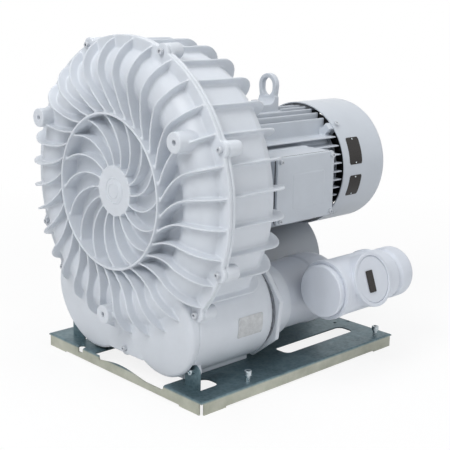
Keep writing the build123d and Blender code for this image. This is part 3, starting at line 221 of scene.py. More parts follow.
def zinc_sheet(name):
    """Passivated zinc plate: blue grey top with spangle, yellowish flange faces."""
    t = Tree(name)
    blues = [(0.30, srgb(66, 88, 97)), (0.55, srgb(84, 108, 117)), (0.75, srgb(108, 131, 138))]
    top = t.ramp(t.noise(16.0, 4.0, 0.6), blues)
    cells = t.voronoi(130.0)
    top = t.mix(t.math("MULTIPLY", t.spread(cells, 0.1, 0.7), 0.25), top, srgb(140, 160, 164))
    yellows = [(0.30, srgb(168, 170, 156)), (0.70, srgb(196, 197, 184))]
    side = t.ramp(t.noise(22.0, 4.0, 0.6), yellows)
    height = t.spread(t.axis("Z"), FLANGE_TOP_Z, SHEET_TOP_Z)
    colour = t.mix(height, side, top)
    rough = t.spread(t.noise(60.0, 3.0, 0.6), 0.3, 0.7, 0.34, 0.5)
    normal = t.bump(t.noise(500.0, 3.0, 0.6), 0.2, 0.00015)
    return t.set(Base_Color=colour, Roughness=rough, Normal=normal, Metallic=0.55)


def rubber(name, colour=srgb(28, 28, 30)):
    """Matt rubber or gasket sheet with a fine grain."""
    t = Tree(name)
    cloud = t.noise(60.0, 4.0, 0.6)
    tinted = t.ramp(cloud, [(0.3, shade(colour, 0.8)), (0.7, shade(colour, 1.4))])
    normal = t.bump(t.noise(900.0, 3.0, 0.6), 0.3, 0.0002)
    rough = t.spread(cloud, 0.3, 0.7, 0.62, 0.8)
    return t.set(Base_Color=tinted, Roughness=rough, Normal=normal)


def foam(name):
    """Open celled foam: dark cells with paler walls."""
    t = Tree(name)
    cells = t.voronoi(420.0)
    tinted = t.ramp(cells, [(0.1, srgb(22, 22, 24)), (0.8, srgb(70, 70, 72))])
    return t.set(Base_Color=tinted, Roughness=0.9, Normal=t.bump(cells, 0.8, 0.0015))


def laminated(name):
    """Stacked steel sheets: fine bands along X."""
    t = Tree(name)
    wave = t.nodes.new("ShaderNodeTexWave")
    wave.bands_direction = "X"
    wave.inputs["Scale"].default_value = 320.0
    wave.inputs["Distortion"].default_value = 0.4
    t.links.new(t.place, wave.inputs["Vector"])
    colour = t.ramp(wave.outputs["Fac"], [(0.2, srgb(60, 60, 64)), (0.8, srgb(120, 120, 124))])
    return t.set(Base_Color=colour, Roughness=0.5, Metallic=0.8,
                 Normal=t.bump(wave.outputs["Fac"], 0.4, 0.0003))


def winding(name):
    """Varnished copper strands."""
    t = Tree(name)
    strands = t.noise(340.0, 4.0, 0.7, stretch=(1.0, 0.25, 0.25))
    colour = t.ramp(strands, [(0.3, srgb(92, 44, 20)), (0.7, srgb(176, 98, 52))])
    return t.set(Base_Color=colour, Roughness=0.38, Metallic=0.7,
                 Normal=t.bump(strands, 0.6, 0.0008))


def paper(name):
    """Fibrous filter paper."""
    t = Tree(name)
    fibres = t.noise(500.0, 5.0, 0.7)
    colour = t.ramp(fibres, [(0.3, srgb(196, 186, 156)), (0.7, srgb(226, 218, 194))])
    return t.set(Base_Color=colour, Roughness=0.85, Normal=t.bump(fibres, 0.4, 0.0003))


def dark_plate(name):
    """An anodised plate, dark, bare and brushed."""
    t = Tree(name)
    brushed = t.noise(220.0, 4.0, 0.6, stretch=(1.0, 8.0, 0.3))
    colour = t.ramp(brushed, [(0.3, srgb(26, 24, 24)), (0.7, srgb(48, 44, 42))])
    rough = t.spread(brushed, 0.3, 0.7, 0.34, 0.5)
    return t.set(Base_Color=colour, Roughness=rough, Metallic=0.4,
                 Normal=t.bump(brushed, 0.2, 0.0001))


def silver_plate(name):
    """A thin foil plate, bare and pale, with faint clouds of wear."""
    t = Tree(name)
    cloud = t.noise(70.0, 5.0, 0.7)
    colour = t.ramp(cloud, [(0.32, srgb(176, 178, 180)), (0.68, srgb(204, 206, 208))])
    rough = t.spread(cloud, 0.3, 0.7, 0.3, 0.46)
    return t.set(Base_Color=colour, Roughness=rough, Metallic=0.35,
                 Normal=t.bump(t.noise(500.0, 3.0, 0.6), 0.15, 0.0001))


# ------------------------------------------------------------------ which piece has which
BLOWER_GREY = srgb(210, 215, 222)
MOTOR_GREY = srgb(197, 203, 211)
PIPE_GREY = srgb(206, 211, 220)
# Painted shade: the canister gets a darker grey than the rest of the paint, standing in for the
# shadow under the motor.
CANISTER_SHADED_GREY = srgb(156, 161, 168)

looks = {
    "cast_painted": painted_cast("cast_painted", BLOWER_GREY),
    "motor_painted": painted_cast("motor_painted", MOTOR_GREY, 0.7),
    "cowl_sheet": painted_sheet("cowl_sheet", MOTOR_GREY),
    "lug_steel": painted_cast("lug_steel", MOTOR_GREY, 0.6),
    "pipe_painted": painted_cast("pipe_painted", PIPE_GREY, 0.5),
    "pipe_plastic": moulded("pipe_plastic", srgb(210, 215, 224)),
    # Darker canister grey: painted shade for the shadow under the motor.
    "canister_sheet": painted_sheet("canister_sheet", CANISTER_SHADED_GREY, 0.45),
    "zinc_sheet": zinc_sheet("zinc_sheet"),
    "steel": bright_metal("steel", srgb(168, 170, 172), 0.34, tint=srgb(186, 184, 172)),
    "cast_bare": bright_metal("cast_bare", srgb(176, 178, 180), 0.5),
    "rubber": rubber("rubber"),
    "foam": foam("foam"),
    "lamination": laminated("lamination"),
    "copper": winding("copper"),
    "filter_paper": paper("filter_paper"),
    "fan_plastic": moulded("fan_plastic", srgb(34, 35, 38), 0.5),
    "board_plastic": moulded("board_plastic", srgb(70, 38, 24), 0.5),
    "gland_plastic": moulded("gland_plastic", srgb(96, 100, 106), 0.5),
}
painted_bolt = painted_cast("painted_bolt", srgb(196, 200, 206), 0.5, 0.36)
bright_zinc = bright_metal("bright_zinc", srgb(190, 200, 206), 0.26, tint=srgb(206, 214, 216))
joint_grey = rubber("joint_grey", srgb(120, 124, 130))
own_look = {name: painted_bolt for name in (
    "flange_screws", "terminal_screws", "cowl_screws", "outlet_flange_screws",
    "inlet_flange_screws", "lug_screws")}
own_look.update({"hold_down_screws": bright_zinc, "tab_screws": bright_zinc,
                 "outlet_gasket": joint_grey, "inlet_gasket": joint_grey})
plate_look = dark_plate("plate_dark")
silver_look = silver_plate("plate_silver")


def look_of(node):
    """A CAD node's finish: its own, or else its slot's."""
    return own_look.get(node, looks[slot_of[node]])


def paint(obj, look):
    obj.data.materials.clear()
    obj.data.materials.append(look)


for name, node in nodes.items():
    paint(node, look_of(name))


# ------------------------------------------------------------------ mesh helpers
MOST_TRIANGLES, FRAME_TRIANGLES, CASING_TRIANGLES = 90000, 200000, 260000
SHAFT_CENTRE = (0.0, SHAFT_Z)
TINY = 1e-6

body_of_node = {member: body
                for body, members in frame["record"]["behaviour"]["bodies"].items()
                for member in members}


def applied(obj):
    """Turns an object's modifiers into its mesh."""
    depsgraph = bpy.context.evaluated_depsgraph_get()
    mesh = bpy.data.meshes.new_from_object(obj.evaluated_get(depsgraph))
    old = obj.data
    obj.modifiers.clear()
    obj.data = mesh
    bpy.data.meshes.remove(old)


def linked(name, data):
    """A new object in the scene."""
    obj = bpy.data.objects.new(name, data)
    bpy.context.scene.collection.objects.link(obj)
    return obj


def built(name, build):
    """Turns a bmesh into an object of the scene and frees it."""
    mesh = bpy.data.meshes.new(name)
    build.to_mesh(mesh)
    build.free()
    return linked(name, mesh)


def remeshed(obj, voxel):
    """One even skin over everything in an object's mesh."""
    remesh = obj.modifiers.new("remesh", "REMESH")
    remesh.mode = "VOXEL"
    remesh.voxel_size = voxel
    applied(obj)


def smoothed(obj, rounds):
    """Rounds edges and fills corners by moving each vertex towards its neighbours."""
    smooth = obj.modifiers.new("smooth", "SMOOTH")
    smooth.iterations = rounds
    applied(obj)


def joined(obj, others):
    """Adds other objects' meshes to an object's mesh and drops those objects."""
    build = bmesh.new()
    for part in [obj] + others:
        build.from_mesh(part.data)
    build.to_mesh(obj.data)
    build.free()
    for part in others:
        bpy.data.objects.remove(part)


def merged(obj, other, operation="UNION"):
    """Joins another object to an object, or cuts it away, and drops the other."""
    change = obj.modifiers.new("merge", "BOOLEAN")
    change.operation = operation
    change.solver = "EXACT"
    change.object = other
    applied(obj)
    bpy.data.objects.remove(other)


def reshaped(obj, function):
    """Moves an object's vertices by a function of an (n, 3) array."""
    mesh = obj.data
    points = np.empty(len(mesh.vertices) * 3)
    mesh.vertices.foreach_get("co", points)
    points = function(points.reshape(-1, 3))
    mesh.vertices.foreach_set("co", points.ravel())
    mesh.update()


def thinned(obj, most):
    """Drops the triangles that a flat or gently curved stretch doesn't need."""
    triangles = len(obj.data.polygons) * 2
    if triangles > most:
        thin = obj.modifiers.new("thin", "DECIMATE")
        thin.ratio = most / triangles
        applied(obj)


def shaded(obj, smooth):
    """Smooth or flat shading on all faces."""
    obj.data.polygons.foreach_set("use_smooth", [smooth] * len(obj.data.polygons))


def stands_for(obj, node, most=MOST_TRIANGLES, smooth=True):
    """Gives a new piece the finish and body of the CAD node that it shows, and hides that node.
    """
    thinned(obj, most)
    shaded(obj, smooth)
    paint(obj, look_of(node))
    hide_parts(node)
    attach(obj, body_of_node[node])


def cast_copy(node, suffix="_cast"):
    return linked(node + suffix, nodes[node].data.copy())


def soften(node, voxel, rounds, most=MOST_TRIANGLES):
    """A copy of a cast node with the rounded edges and fillets of a sand casting."""
    obj = cast_copy(node)
    remeshed(obj, voxel)
    smoothed(obj, rounds)
    stands_for(obj, node, most)


def arc(u, v, size, start, end, count):
    """count + 1 points on a circle of radius size round (u, v), from start to end degrees."""
    angles = [math.radians(start + (end - start) * i / count) for i in range(count + 1)]
    return [(u + size * math.cos(a), v + size * math.sin(a)) for a in angles]


def radial(angle):
    """The direction (y, z) away from a line along X, at degrees that run up from -Y."""
    return -math.cos(math.radians(angle)), math.sin(math.radians(angle))


def lathe(name, profile, centre, steps=96):
    """A body turned round a line along X through centre (y, z) from (x, radius) points."""
    build = bmesh.new()
    rings = []
    for i in range(steps):
        angle = 2 * math.pi * i / steps
        rings.append([build.verts.new((x, centre[0] + r * math.cos(angle),
                                       centre[1] + r * math.sin(angle))) for x, r in profile])
    for i in range(steps):
        near, far = rings[i], rings[(i + 1) % steps]
        for j in range(len(profile)):
            k = (j + 1) % len(profile)
            build.faces.new((near[j], near[k], far[k], far[j]))
    bmesh.ops.recalc_face_normals(build, faces=build.faces)
    return built(name, build)


def along_x(y, z, x):
    return x, y, z


def along_y(x, z, y):
    return x, y, z


def along_z(x, y, z):
    return x, y, z


def prism(name, outline, low, high, place):
    """A straight body between two planes; place turns (u, v, w) into a point."""
    build = bmesh.new()
    ends = [[build.verts.new(place(u, v, w)) for u, v in outline] for w in (low, high)]
    build.faces.new(ends[0])
    build.faces.new(ends[1][::-1])
    for i in range(len(outline)):
        j = (i + 1) % len(outline)
        build.faces.new((ends[0][i], ends[1][i], ends[1][j], ends[0][j]))
    bmesh.ops.recalc_face_normals(build, faces=build.faces)
    return built(name, build)


# ------------------------------------------------------------------ rear housing
FIN_COUNT, FIN_PHASE, FIN_THICKNESS, FIN_RADIUS = 32, 5.625, 0.0042, 0.303
EAR_SIZE, EAR_END_X, EAR_SKIRT, EAR_SLOPE = 0.047, -0.098, 0.005, 0.008
EAR_ROOT_REACH, EAR_ROOT_HEIGHT = 0.032, 0.020
EAR_CORNER_X, EAR_CORNER_DROP, EAR_LIP = 0.007, 0.006, 0.001
EAR_DEPTH, EAR_CLEARANCE = 0.018, 0.004
CASING_RADIUS, CASING_REAR_X = 0.289, -0.142
REAR_WALL_RADIUS, REAR_WALL_FADE = 0.200, 0.020
SHOULDER, SHOULDER_START_X, SHOULDER_RUN = 0.014, -0.180, 0.025
BEVEL, BEVEL_MARGIN, BEVEL_INNER_RADIUS, BEVEL_START_X = 0.016, 0.012, 0.24, -0.200
CLEAR_START, CLEAR_END, CLEAR_FADE = -40, 220, 4
SILENCER_Y, SILENCER_Z, SILENCER_RADIUS = 0.112, 0.145, 0.113


def fin_ear(angle):
    """The free rounded end of one straight fin, behind the casing's bevelled edge."""
    root = CASING_REAR_X - EAR_ROOT_REACH
    foot = FIN_RADIUS - EAR_SIZE - EAR_SKIRT
    outline = [(root, FIN_RADIUS), (root, FIN_RADIUS - EAR_ROOT_HEIGHT),
               (CASING_REAR_X + EAR_SLOPE, foot - EAR_SLOPE),
               (EAR_END_X - EAR_CORNER_X, foot - EAR_CORNER_DROP), (EAR_END_X - EAR_LIP, foot)]
    outline += arc(EAR_END_X - EAR_SIZE, FIN_RADIUS - EAR_SIZE, EAR_SIZE, 0, 90, 12)
    y, z = radial(angle)
    half = FIN_THICKNESS / 2
    return prism("ear", outline, -half, half, lambda x, r, w: (
        x, r * y + w * z, SHAFT_Z + r * z - w * y))


def ear_angles():
    """The fins that stand wholly clear of the silencers."""
    free = []
    for i in range(FIN_COUNT):
        angle = FIN_PHASE + 360.0 / FIN_COUNT * i
        y, z = radial(angle)
        gaps = [math.hypot(abs(r * y) - SILENCER_Y, SHAFT_Z + r * z - SILENCER_Z)
                for r in (FIN_RADIUS, FIN_RADIUS - EAR_SIZE - EAR_DEPTH)]
        if min(gaps) > SILENCER_RADIUS + EAR_CLEARANCE:
            free.append(angle)
    return free


def bevelled(points):
    """Above the silencers, levels the rear wall, lifts its shoulder and bevels its edge."""
    x, y, z = points.T
    radius = np.hypot(y, z - SHAFT_Z)
    turn = np.degrees(np.arctan2(z - SHAFT_Z, -y))
    above = np.where(turn < -90, turn + 360, turn)
    weight = np.clip((above - CLEAR_START) / CLEAR_FADE, 0, 1)
    weight = weight * np.clip((CLEAR_END - above) / CLEAR_FADE, 0, 1)
    wall = (radius > REAR_WALL_RADIUS) & (x > CASING_REAR_X)
    x = np.where(wall, x + weight * (CASING_REAR_X - x), x)
    outer = np.clip((radius - REAR_WALL_RADIUS) / REAR_WALL_FADE, 0, 1)
    outer = outer * np.clip((x - SHOULDER_START_X) / SHOULDER_RUN, 0, 1)
    x = x + weight * outer * SHOULDER
    start = CASING_REAR_X + SHOULDER + CASING_RADIUS - BEVEL - BEVEL_MARGIN
    edge = (radius > BEVEL_INNER_RADIUS) & (x > BEVEL_START_X)
    over = np.where(edge, np.maximum(x + radius - start, 0), 0)
    back = weight * over * (1 - BEVEL_MARGIN / (BEVEL_MARGIN + BEVEL)) / 2
    new_radius = np.maximum(radius - back, TINY)
    scale = np.where(radius > TINY, new_radius / np.maximum(radius, TINY), 1)
    return np.stack([x - back, y * scale, SHAFT_Z + (z - SHAFT_Z) * scale], axis=1)


def rear_housing():
    obj = cast_copy("rear_housing")
    remeshed(obj, 0.0020)
    reshaped(obj, bevelled)
    joined(obj, [fin_ear(angle) for angle in ear_angles()])
    remeshed(obj, 0.0018)
    smoothed(obj, 4)
    stands_for(obj, "rear_housing", CASING_TRIANGLES)


# ------------------------------------------------------------------ outlet pipework
PORT_CENTRE = PORT_Y, PORT_Z = -0.133, 0.146
HEX_APOTHEM, OCTAGON_APOTHEM, PLATE_TURN = 0.100, 0.1035, 164.0
PLATE_INNER_RADIUS, PLATE_FADE = 0.070, 0.015
COLLAR_START_X, COLLAR_END_X, COLLAR_EDGE = -0.034, -0.001, 0.002
COLLAR_INNER_RADIUS, COLLAR_RADIUS = 0.064, 0.083
PIPE_RADIUS, PIPE_END_X, PIPE_WALL = 0.075, 0.226, 0.010
DOME_X, DOME_RADIUS, SOCKET_X, SOCKET_FADE = 0.140, 0.078, 0.098, 0.004
TEE_CENTRE = TEE_Y, TEE_Z = -0.270, 0.1885
NOZZLE_START_X, NOZZLE_BORE_RADIUS = 0.212, 0.0402
ADAPTER_START_X, ADAPTER_END_X, ADAPTER_BORE_RADIUS = 0.1815, 0.2315, 0.0503
PIPE_STEPS = 128


def polygon_radius(angle, sides, apothem):
    """How far a regular polygon's edge lies from its middle, at an angle in degrees."""
    step = 360.0 / sides
    return apothem / np.cos(np.radians((angle - PLATE_TURN) % step - step / 2))


def eight_sided(points):
    """Draws the corners of the six sided flange plate out to eight flats."""
    x, y, z = points.T
    y, z = y - PORT_Y, z - PORT_Z
    radius, angle = np.hypot(y, z), np.degrees(np.arctan2(z, y))
    grow = (polygon_radius(angle, 8, OCTAGON_APOTHEM) / polygon_radius(angle, 6, HEX_APOTHEM)) - 1
    weight = np.clip((radius - PLATE_INNER_RADIUS) / PLATE_FADE, 0, 1)
    scale = 1 + grow * weight
    return np.stack([x, PORT_Y + y * scale, PORT_Z + z * scale], axis=1)


def outlet_flange():
    """The flange with its eight sided plate and a round collar in front of it."""
    obj = cast_copy("outlet_flange")
    remeshed(obj, 0.0013)
    reshaped(obj, eight_sided)
    edge_radius = COLLAR_RADIUS - COLLAR_EDGE
    profile = [(COLLAR_START_X, COLLAR_INNER_RADIUS), (COLLAR_START_X, edge_radius),
               (COLLAR_START_X + COLLAR_EDGE, COLLAR_RADIUS),
               (COLLAR_END_X - COLLAR_EDGE, COLLAR_RADIUS),
               (COLLAR_END_X, edge_radius), (COLLAR_END_X, COLLAR_INNER_RADIUS)]
    joined(obj, [lathe("collar", profile, PORT_CENTRE)])
    remeshed(obj, 0.0013)
    smoothed(obj, 3)
    stands_for(obj, "outlet_flange")


def domed(points):
    """Turns the flat end of the manifold into a dome on a socket of its own."""
    x, y, z = points.T
    y, z = y - PORT_Y, z - PORT_Z
    radius = np.hypot(y, z)
    side_depth, end_depth = PIPE_RADIUS - radius, PIPE_END_X - x
    on_end = end_depth < side_depth
    depth = np.clip(np.where(on_end, end_depth, side_depth), 0, PIPE_WALL)
    run = np.where(on_end, PIPE_END_X - DOME_X + side_depth, x - DOME_X)
    whole = PIPE_END_X - DOME_X + PIPE_RADIUS
    angle = np.clip(run / whole, 0, 1) * math.pi / 2
    dome_radius = (DOME_RADIUS - depth) * np.cos(angle)
    dome_x = DOME_X + (DOME_RADIUS - depth) * np.sin(angle)
    socket = np.clip((x - SOCKET_X) / SOCKET_FADE, 0, 1)
    pipe = radius + socket * (DOME_RADIUS - PIPE_RADIUS)
    past = (x > DOME_X) | on_end
    new_radius = np.where(past, dome_radius, pipe)
    new_x = np.where(past, dome_x, x)
    scale = new_radius / np.maximum(radius, TINY)
    return np.stack([new_x, PORT_Y + y * scale, PORT_Z + z * scale], axis=1)


def outlet_manifold():
    obj = cast_copy("outlet_manifold")
    remeshed(obj, 0.0016)
    reshaped(obj, domed)
    smoothed(obj, 4)
    stands_for(obj, "outlet_manifold")


def outlet_nozzle():
    """The stepped end pipe: a rounded shoulder, a groove and a domed cap round the mouth."""
    profile = [(NOZZLE_START_X, 0.0495), (0.231, 0.0495), (0.2325, 0.052), (0.236, 0.0525)]
    profile += arc(0.243, 0.0505, 0.0065, 150, 90, 5)
    profile += arc(0.268, 0.039, 0.018, 90, 20, 10)
    profile += [(0.2872, 0.0425), (0.2868, NOZZLE_BORE_RADIUS),
                (NOZZLE_START_X, NOZZLE_BORE_RADIUS)]
    obj = lathe("outlet_nozzle_cast", profile, TEE_CENTRE, PIPE_STEPS)
    stands_for(obj, "outlet_nozzle")


def nozzle_adapter():
    """The reducing ring between the cross and the nozzle, with a rounded shoulder."""
    profile = [(ADAPTER_START_X, 0.0545), (0.1905, 0.0545), (0.191, 0.0575)]
    profile += arc(0.199, 0.0505, 0.008, 150, 90, 5)
    profile += arc(0.222, 0.0485, 0.0085, 90, 25, 6)
    profile += [(ADAPTER_END_X, ADAPTER_BORE_RADIUS), (ADAPTER_START_X, ADAPTER_BORE_RADIUS)]
    obj = lathe("nozzle_adapter_cast", profile, TEE_CENTRE, PIPE_STEPS)
    stands_for(obj, "nozzle_adapter")


# ------------------------------------------------------------------ lifting lug
LUG_X, LUG_SEAT_Z, LUG_HOLE_Z = 0.141, 0.537, 0.5913
LUG_THICKNESS, LUG_NECK, LUG_EYE, LUG_EYE_RISE = 0.013, 0.0240, 0.0265, 0.003
LUG_HOLE_RADIUS, LUG_SLOT_RISE, LUG_CUT_REACH = 0.0165, 0.0035, 0.1
FOOT_HALF_WIDTH, FOOT_DROP, FOOT_RISE, FOOT_FILLET = 0.0255, 0.020, 0.016, 0.016
FOOT_LENGTH, FOOT_CHAMFER, FOOT_TIP, FOOT_TIP_DROP = 0.084, 0.008, 0.078, 0.004


def lifting_lug():
    """The cast eye: a waisted plate that flares into its foot, with a slotted eye."""
    side = [(0.0235, LUG_HOLE_Z - 0.020), (LUG_NECK, LUG_SEAT_Z + 0.020),
            (0.0255, LUG_SEAT_Z + 0.008), (0.0265, LUG_SEAT_Z - 0.016)]
    outline = arc(0, LUG_HOLE_Z + LUG_EYE_RISE, LUG_EYE, -12, 192, 28)
    outline += [(-y, z) for y, z in side] + side[::-1]
    front = LUG_X - LUG_THICKNESS
    plate = prism("lug", outline, front, LUG_X, along_x)
    hole = arc(0, LUG_HOLE_Z + LUG_SLOT_RISE, LUG_HOLE_RADIUS, 0, 180, 16)
    hole += arc(0, LUG_HOLE_Z - LUG_SLOT_RISE, LUG_HOLE_RADIUS, 180, 360, 16)
    eye = prism("eye", hole, LUG_X - LUG_CUT_REACH, LUG_X + LUG_CUT_REACH, along_x)
    merged(plate, eye, "DIFFERENCE")
    sole, top = LUG_SEAT_Z - FOOT_DROP, LUG_SEAT_Z + FOOT_RISE
    wedge = [(LUG_X, sole + FOOT_CHAMFER), (LUG_X - FOOT_CHAMFER, sole),
             (LUG_X - FOOT_LENGTH, sole), (LUG_X - FOOT_LENGTH, top - FOOT_TIP_DROP),
             (LUG_X - FOOT_TIP, top), (front - FOOT_FILLET, top)]
    wedge += arc(front - FOOT_FILLET, top + FOOT_FILLET, FOOT_FILLET, 270, 360, 8)
    wedge += [(LUG_X, top + FOOT_FILLET)]
    foot = prism("foot", wedge, -FOOT_HALF_WIDTH, FOOT_HALF_WIDTH, along_y)
    joined(plate, [foot])
    remeshed(plate, 0.0011)
    smoothed(plate, 5)
    plate.name = "lifting_lug_cast"
    stands_for(plate, "lifting_lug")


# ------------------------------------------------------------------ base
BASE_TOP, SCREW_DROP, SHANK = 0.028, 0.017, 0.0048
SCREW_X, SCREW_Y = (-0.155, 0.261), 0.242
NUT_GAP, NUT_HEIGHT, HEAD_RISE = 0.0005, 0.012, 0.020
CREST_LOW_Z, CREST_HIGH_Z, CREST_FOOT_Z = 0.0165, 0.0274, 0.006
CREST_Y, CREST_HALF, CREST_STEPS, CREST_FULLNESS = -0.004, 0.098, 16, 0.8
FLANGE_FRONT_X, FLANGE_REAR_X = -0.2998, -0.2972
RELIEF_X, RELIEF_Y, RELIEF_RADIUS = -0.296, 0.137, 0.009
RELIEF_LOW_Z, RELIEF_HIGH_Z = 0.0155, 0.06


def lowered(points):
    """Seats the screws' heads lower and takes the locknut above the sheet off the shank."""
    x, y, z = points.T
    mid_x = np.where(x < sum(SCREW_X) / 2, SCREW_X[0], SCREW_X[1])
    mid_y = np.where(y < 0, -SCREW_Y, SCREW_Y)
    reach = np.hypot(x - mid_x, y - mid_y)
    nut = (z > BASE_TOP - NUT_GAP) & (z < BASE_TOP + NUT_HEIGHT) & (reach > SHANK)
    scale = np.where(nut, SHANK / np.maximum(reach, TINY), 1)
    high = np.where(z > BASE_TOP + HEAD_RISE, z - SCREW_DROP, z)
    return np.stack([mid_x + (x - mid_x) * scale, mid_y + (y - mid_y) * scale, high], axis=1)


def hold_down_screws():
    obj = cast_copy("hold_down_screws", "_short")
    reshaped(obj, lowered)
    stands_for(obj, "hold_down_screws", smooth=False)


def crest_height(i):
    """The height of the wavy edge at a step: low, a full crest in the middle, low again."""
    share = (0.5 - 0.5 * math.cos(math.pi * i / CREST_STEPS)) ** CREST_FULLNESS
    return CREST_LOW_Z + (CREST_HIGH_Z - CREST_LOW_Z) * share


def base_plate():
    """The sheet base with the wavy upper edge of its front flange and its small relief."""
    obj = cast_copy("base_plate", "_sheet")
    outline = [(CREST_Y + CREST_HALF * (i / CREST_STEPS - 1), crest_height(i))
               for i in range(2 * CREST_STEPS + 1)]
    outline += [(CREST_Y + CREST_HALF, CREST_FOOT_Z), (CREST_Y - CREST_HALF, CREST_FOOT_Z)]
    merged(obj, prism("crest", outline, FLANGE_FRONT_X, FLANGE_REAR_X, along_x))
    circle = arc(RELIEF_X, RELIEF_Y, RELIEF_RADIUS, 0, 360, 24)[:-1]
    merged(obj, prism("relief", circle, RELIEF_LOW_Z, RELIEF_HIGH_Z, along_z), "DIFFERENCE")
    stands_for(obj, "base_plate", smooth=False)


soften("front_cover", 0.0016, 5, CASING_TRIANGLES)
rear_housing()
outlet_flange()
soften("inlet_flange", 0.0016, 3)
soften("motor_frame", 0.0016, 2, FRAME_TRIANGLES)
soften("terminal_box", 0.0012, 3)
soften("terminal_cover", 0.0011, 2)
soften("drive_shield", 0.0020, 3)
for pipe in ("outlet_cross", "run_plug", "branch_cap"):
    soften(pipe, 0.0012, 2)
base_plate()
hold_down_screws()
outlet_manifold()
outlet_nozzle()
nozzle_adapter()
lifting_lug()


# ------------------------------------------------------------------ bare plates
BARREL_CENTRE, BARREL_RADIUS, BARREL_RIVET_RADIUS = (-0.112, 0.145), 0.1134, 0.1137
COWL_RADIUS, COWL_RIVET_X, COWL_RIVET_RADIUS = 0.1460, 0.282, 0.1464
PLATE_COLUMNS, PLATE_ROWS, CORNER_SHARE, EDGE_SHARE = 9, 13, 0.06, 0.3
CAP_TILT, CAP_X, CAP_REACH, CAP_CORNER = 20, 0.124, 0.0669, 0.002
CAP_HALF_WIDTH, CAP_HALF_HEIGHT, CAP_SHIFT, CAP_DROP = 0.0105, 0.0235, -0.009, -0.003
CAP_BACK, CAP_FRONT = -0.0004, 0.0007


def curved_plate(name, x0, x1, a0, a1, radius, centre, thickness, look):
    """A thin plate bent round a shell along X; angles run up from the near side."""
    build = bmesh.new()
    corner = min(x1 - x0, radius * math.radians(abs(a1 - a0))) * CORNER_SHARE
    grid = []
    for i in range(PLATE_ROWS):
        y, z = radial(a0 + (a1 - a0) * i / (PLATE_ROWS - 1))
        inset = corner if i in (0, PLATE_ROWS - 1) else 0.0
        width = x1 - x0 - 2 * inset
        grid.append([build.verts.new((x0 + inset + width * j / (PLATE_COLUMNS - 1),
                                      centre[0] + radius * y, centre[1] + radius * z))
                     for j in range(PLATE_COLUMNS)])
    for low, high in zip(grid, grid[1:]):
        for j in range(PLATE_COLUMNS - 1):
            build.faces.new((low[j], low[j + 1], high[j + 1], high[j]))
    bmesh.ops.recalc_face_normals(build, faces=build.faces)
    obj = built(name, build)
    solid = obj.modifiers.new("thickness", "SOLIDIFY")
    solid.thickness = thickness
    solid.offset = 0.0
    bevel = obj.modifiers.new("edge", "BEVEL")
    bevel.width = thickness * EDGE_SHARE
    bevel.segments = 2
    bevel.limit_method = "ANGLE"
    applied(obj)
    paint(obj, look)
    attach(obj, "blower")


def rivets(name, places, radius, height):
    """Small domed rivet heads; each place is a point and the direction it faces."""
    build = bmesh.new()
    for place, facing in places:
        turn = Vector(facing).to_track_quat("Z", "Y").to_matrix().to_4x4()
        turn.translation = Vector(place)
        found = bmesh.ops.create_uvsphere(build, u_segments=14, v_segments=8, radius=radius)
        for vertex in found["verts"]:
            vertex.co.z *= height / radius
            vertex.co = turn @ vertex.co
    obj = built(name, build)
    shaded(obj, True)
    paint(obj, bright_zinc)
    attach(obj, "blower")


def on_shell(x, angle, radius, centre):
    """A point on a shell round a line along X, and the way that it faces."""
    y, z = radial(angle)
    return (x, centre[0] + radius * y, centre[1] + radius * z), (0.0, y, z)


def cap_plate():
    """The small dark plate on the branch cap's face."""
    tilt = math.radians(CAP_TILT)
    out = Vector((0, -math.cos(tilt), math.sin(tilt)))
    rise = Vector((0, math.sin(tilt), math.cos(tilt)))
    face = Vector((CAP_X, TEE_Y, TEE_Z)) + out * CAP_REACH
    middle = face + rise * CAP_DROP + Vector((CAP_SHIFT, 0, 0))
    outline = []
    for side_u, side_v, start in ((1, 1, 0), (-1, 1, 90), (-1, -1, 180), (1, -1, 270)):
        outline += arc(side_u * (CAP_HALF_WIDTH - CAP_CORNER),
                       side_v * (CAP_HALF_HEIGHT - CAP_CORNER), CAP_CORNER,
                       start, start + 90, 4)
    obj = prism("cap_plate", outline, CAP_BACK, CAP_FRONT, lambda u, v, w: tuple(
        middle + Vector((u, 0, 0)) + rise * v + out * w))
    paint(obj, plate_look)
    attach(obj, "blower")


def face_ring(name, radius, width, x):
    """A low rounded ring cast round the shaft's line on a face that looks along -X."""
    profile = arc(x, radius, width, 90, 270, 8)
    profile += [(x + 0.001, radius - width), (x + 0.001, radius + width)]
    obj = lathe(name, profile, SHAFT_CENTRE, 72)
    shaded(obj, True)
    paint(obj, looks["cast_painted"])
    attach(obj, "blower")


curved_plate("barrel_plate", -0.168, -0.098, -15.0, 7.5, BARREL_RADIUS, BARREL_CENTRE, 0.0006,
             silver_look)
rivets("barrel_plate_rivets",
       [on_shell(x, angle, BARREL_RIVET_RADIUS, BARREL_CENTRE)
        for x in (-0.1645, -0.1015) for angle in (-13.2, 5.7)], 0.0016, 0.0008)
rivets("cowl_plate_rivets",
       [on_shell(COWL_RIVET_X, angle, COWL_RIVET_RADIUS, SHAFT_CENTRE)
        for angle in (28.4, 6.6, -6.6, -23.4)], 0.0021, 0.0011)
cap_plate()
face_ring("medallion_outer_ring", 0.0265, 0.0012, -0.3082)
face_ring("medallion_inner_ring", 0.0150, 0.0009, -0.3106)
curved_plate("cowl_plate_upper", 0.260, 0.304, 5.0, 30.0, COWL_RADIUS, SHAFT_CENTRE, 0.0008,
             plate_look)
curved_plate("cowl_plate_lower", 0.262, 0.304, -25.0, -5.0, COWL_RADIUS, SHAFT_CENTRE, 0.0008,
             plate_look)


# ------------------------------------------------------------------ floor and light
FLOOR_HALF = 30
WHITE = (1, 1, 1, 1)


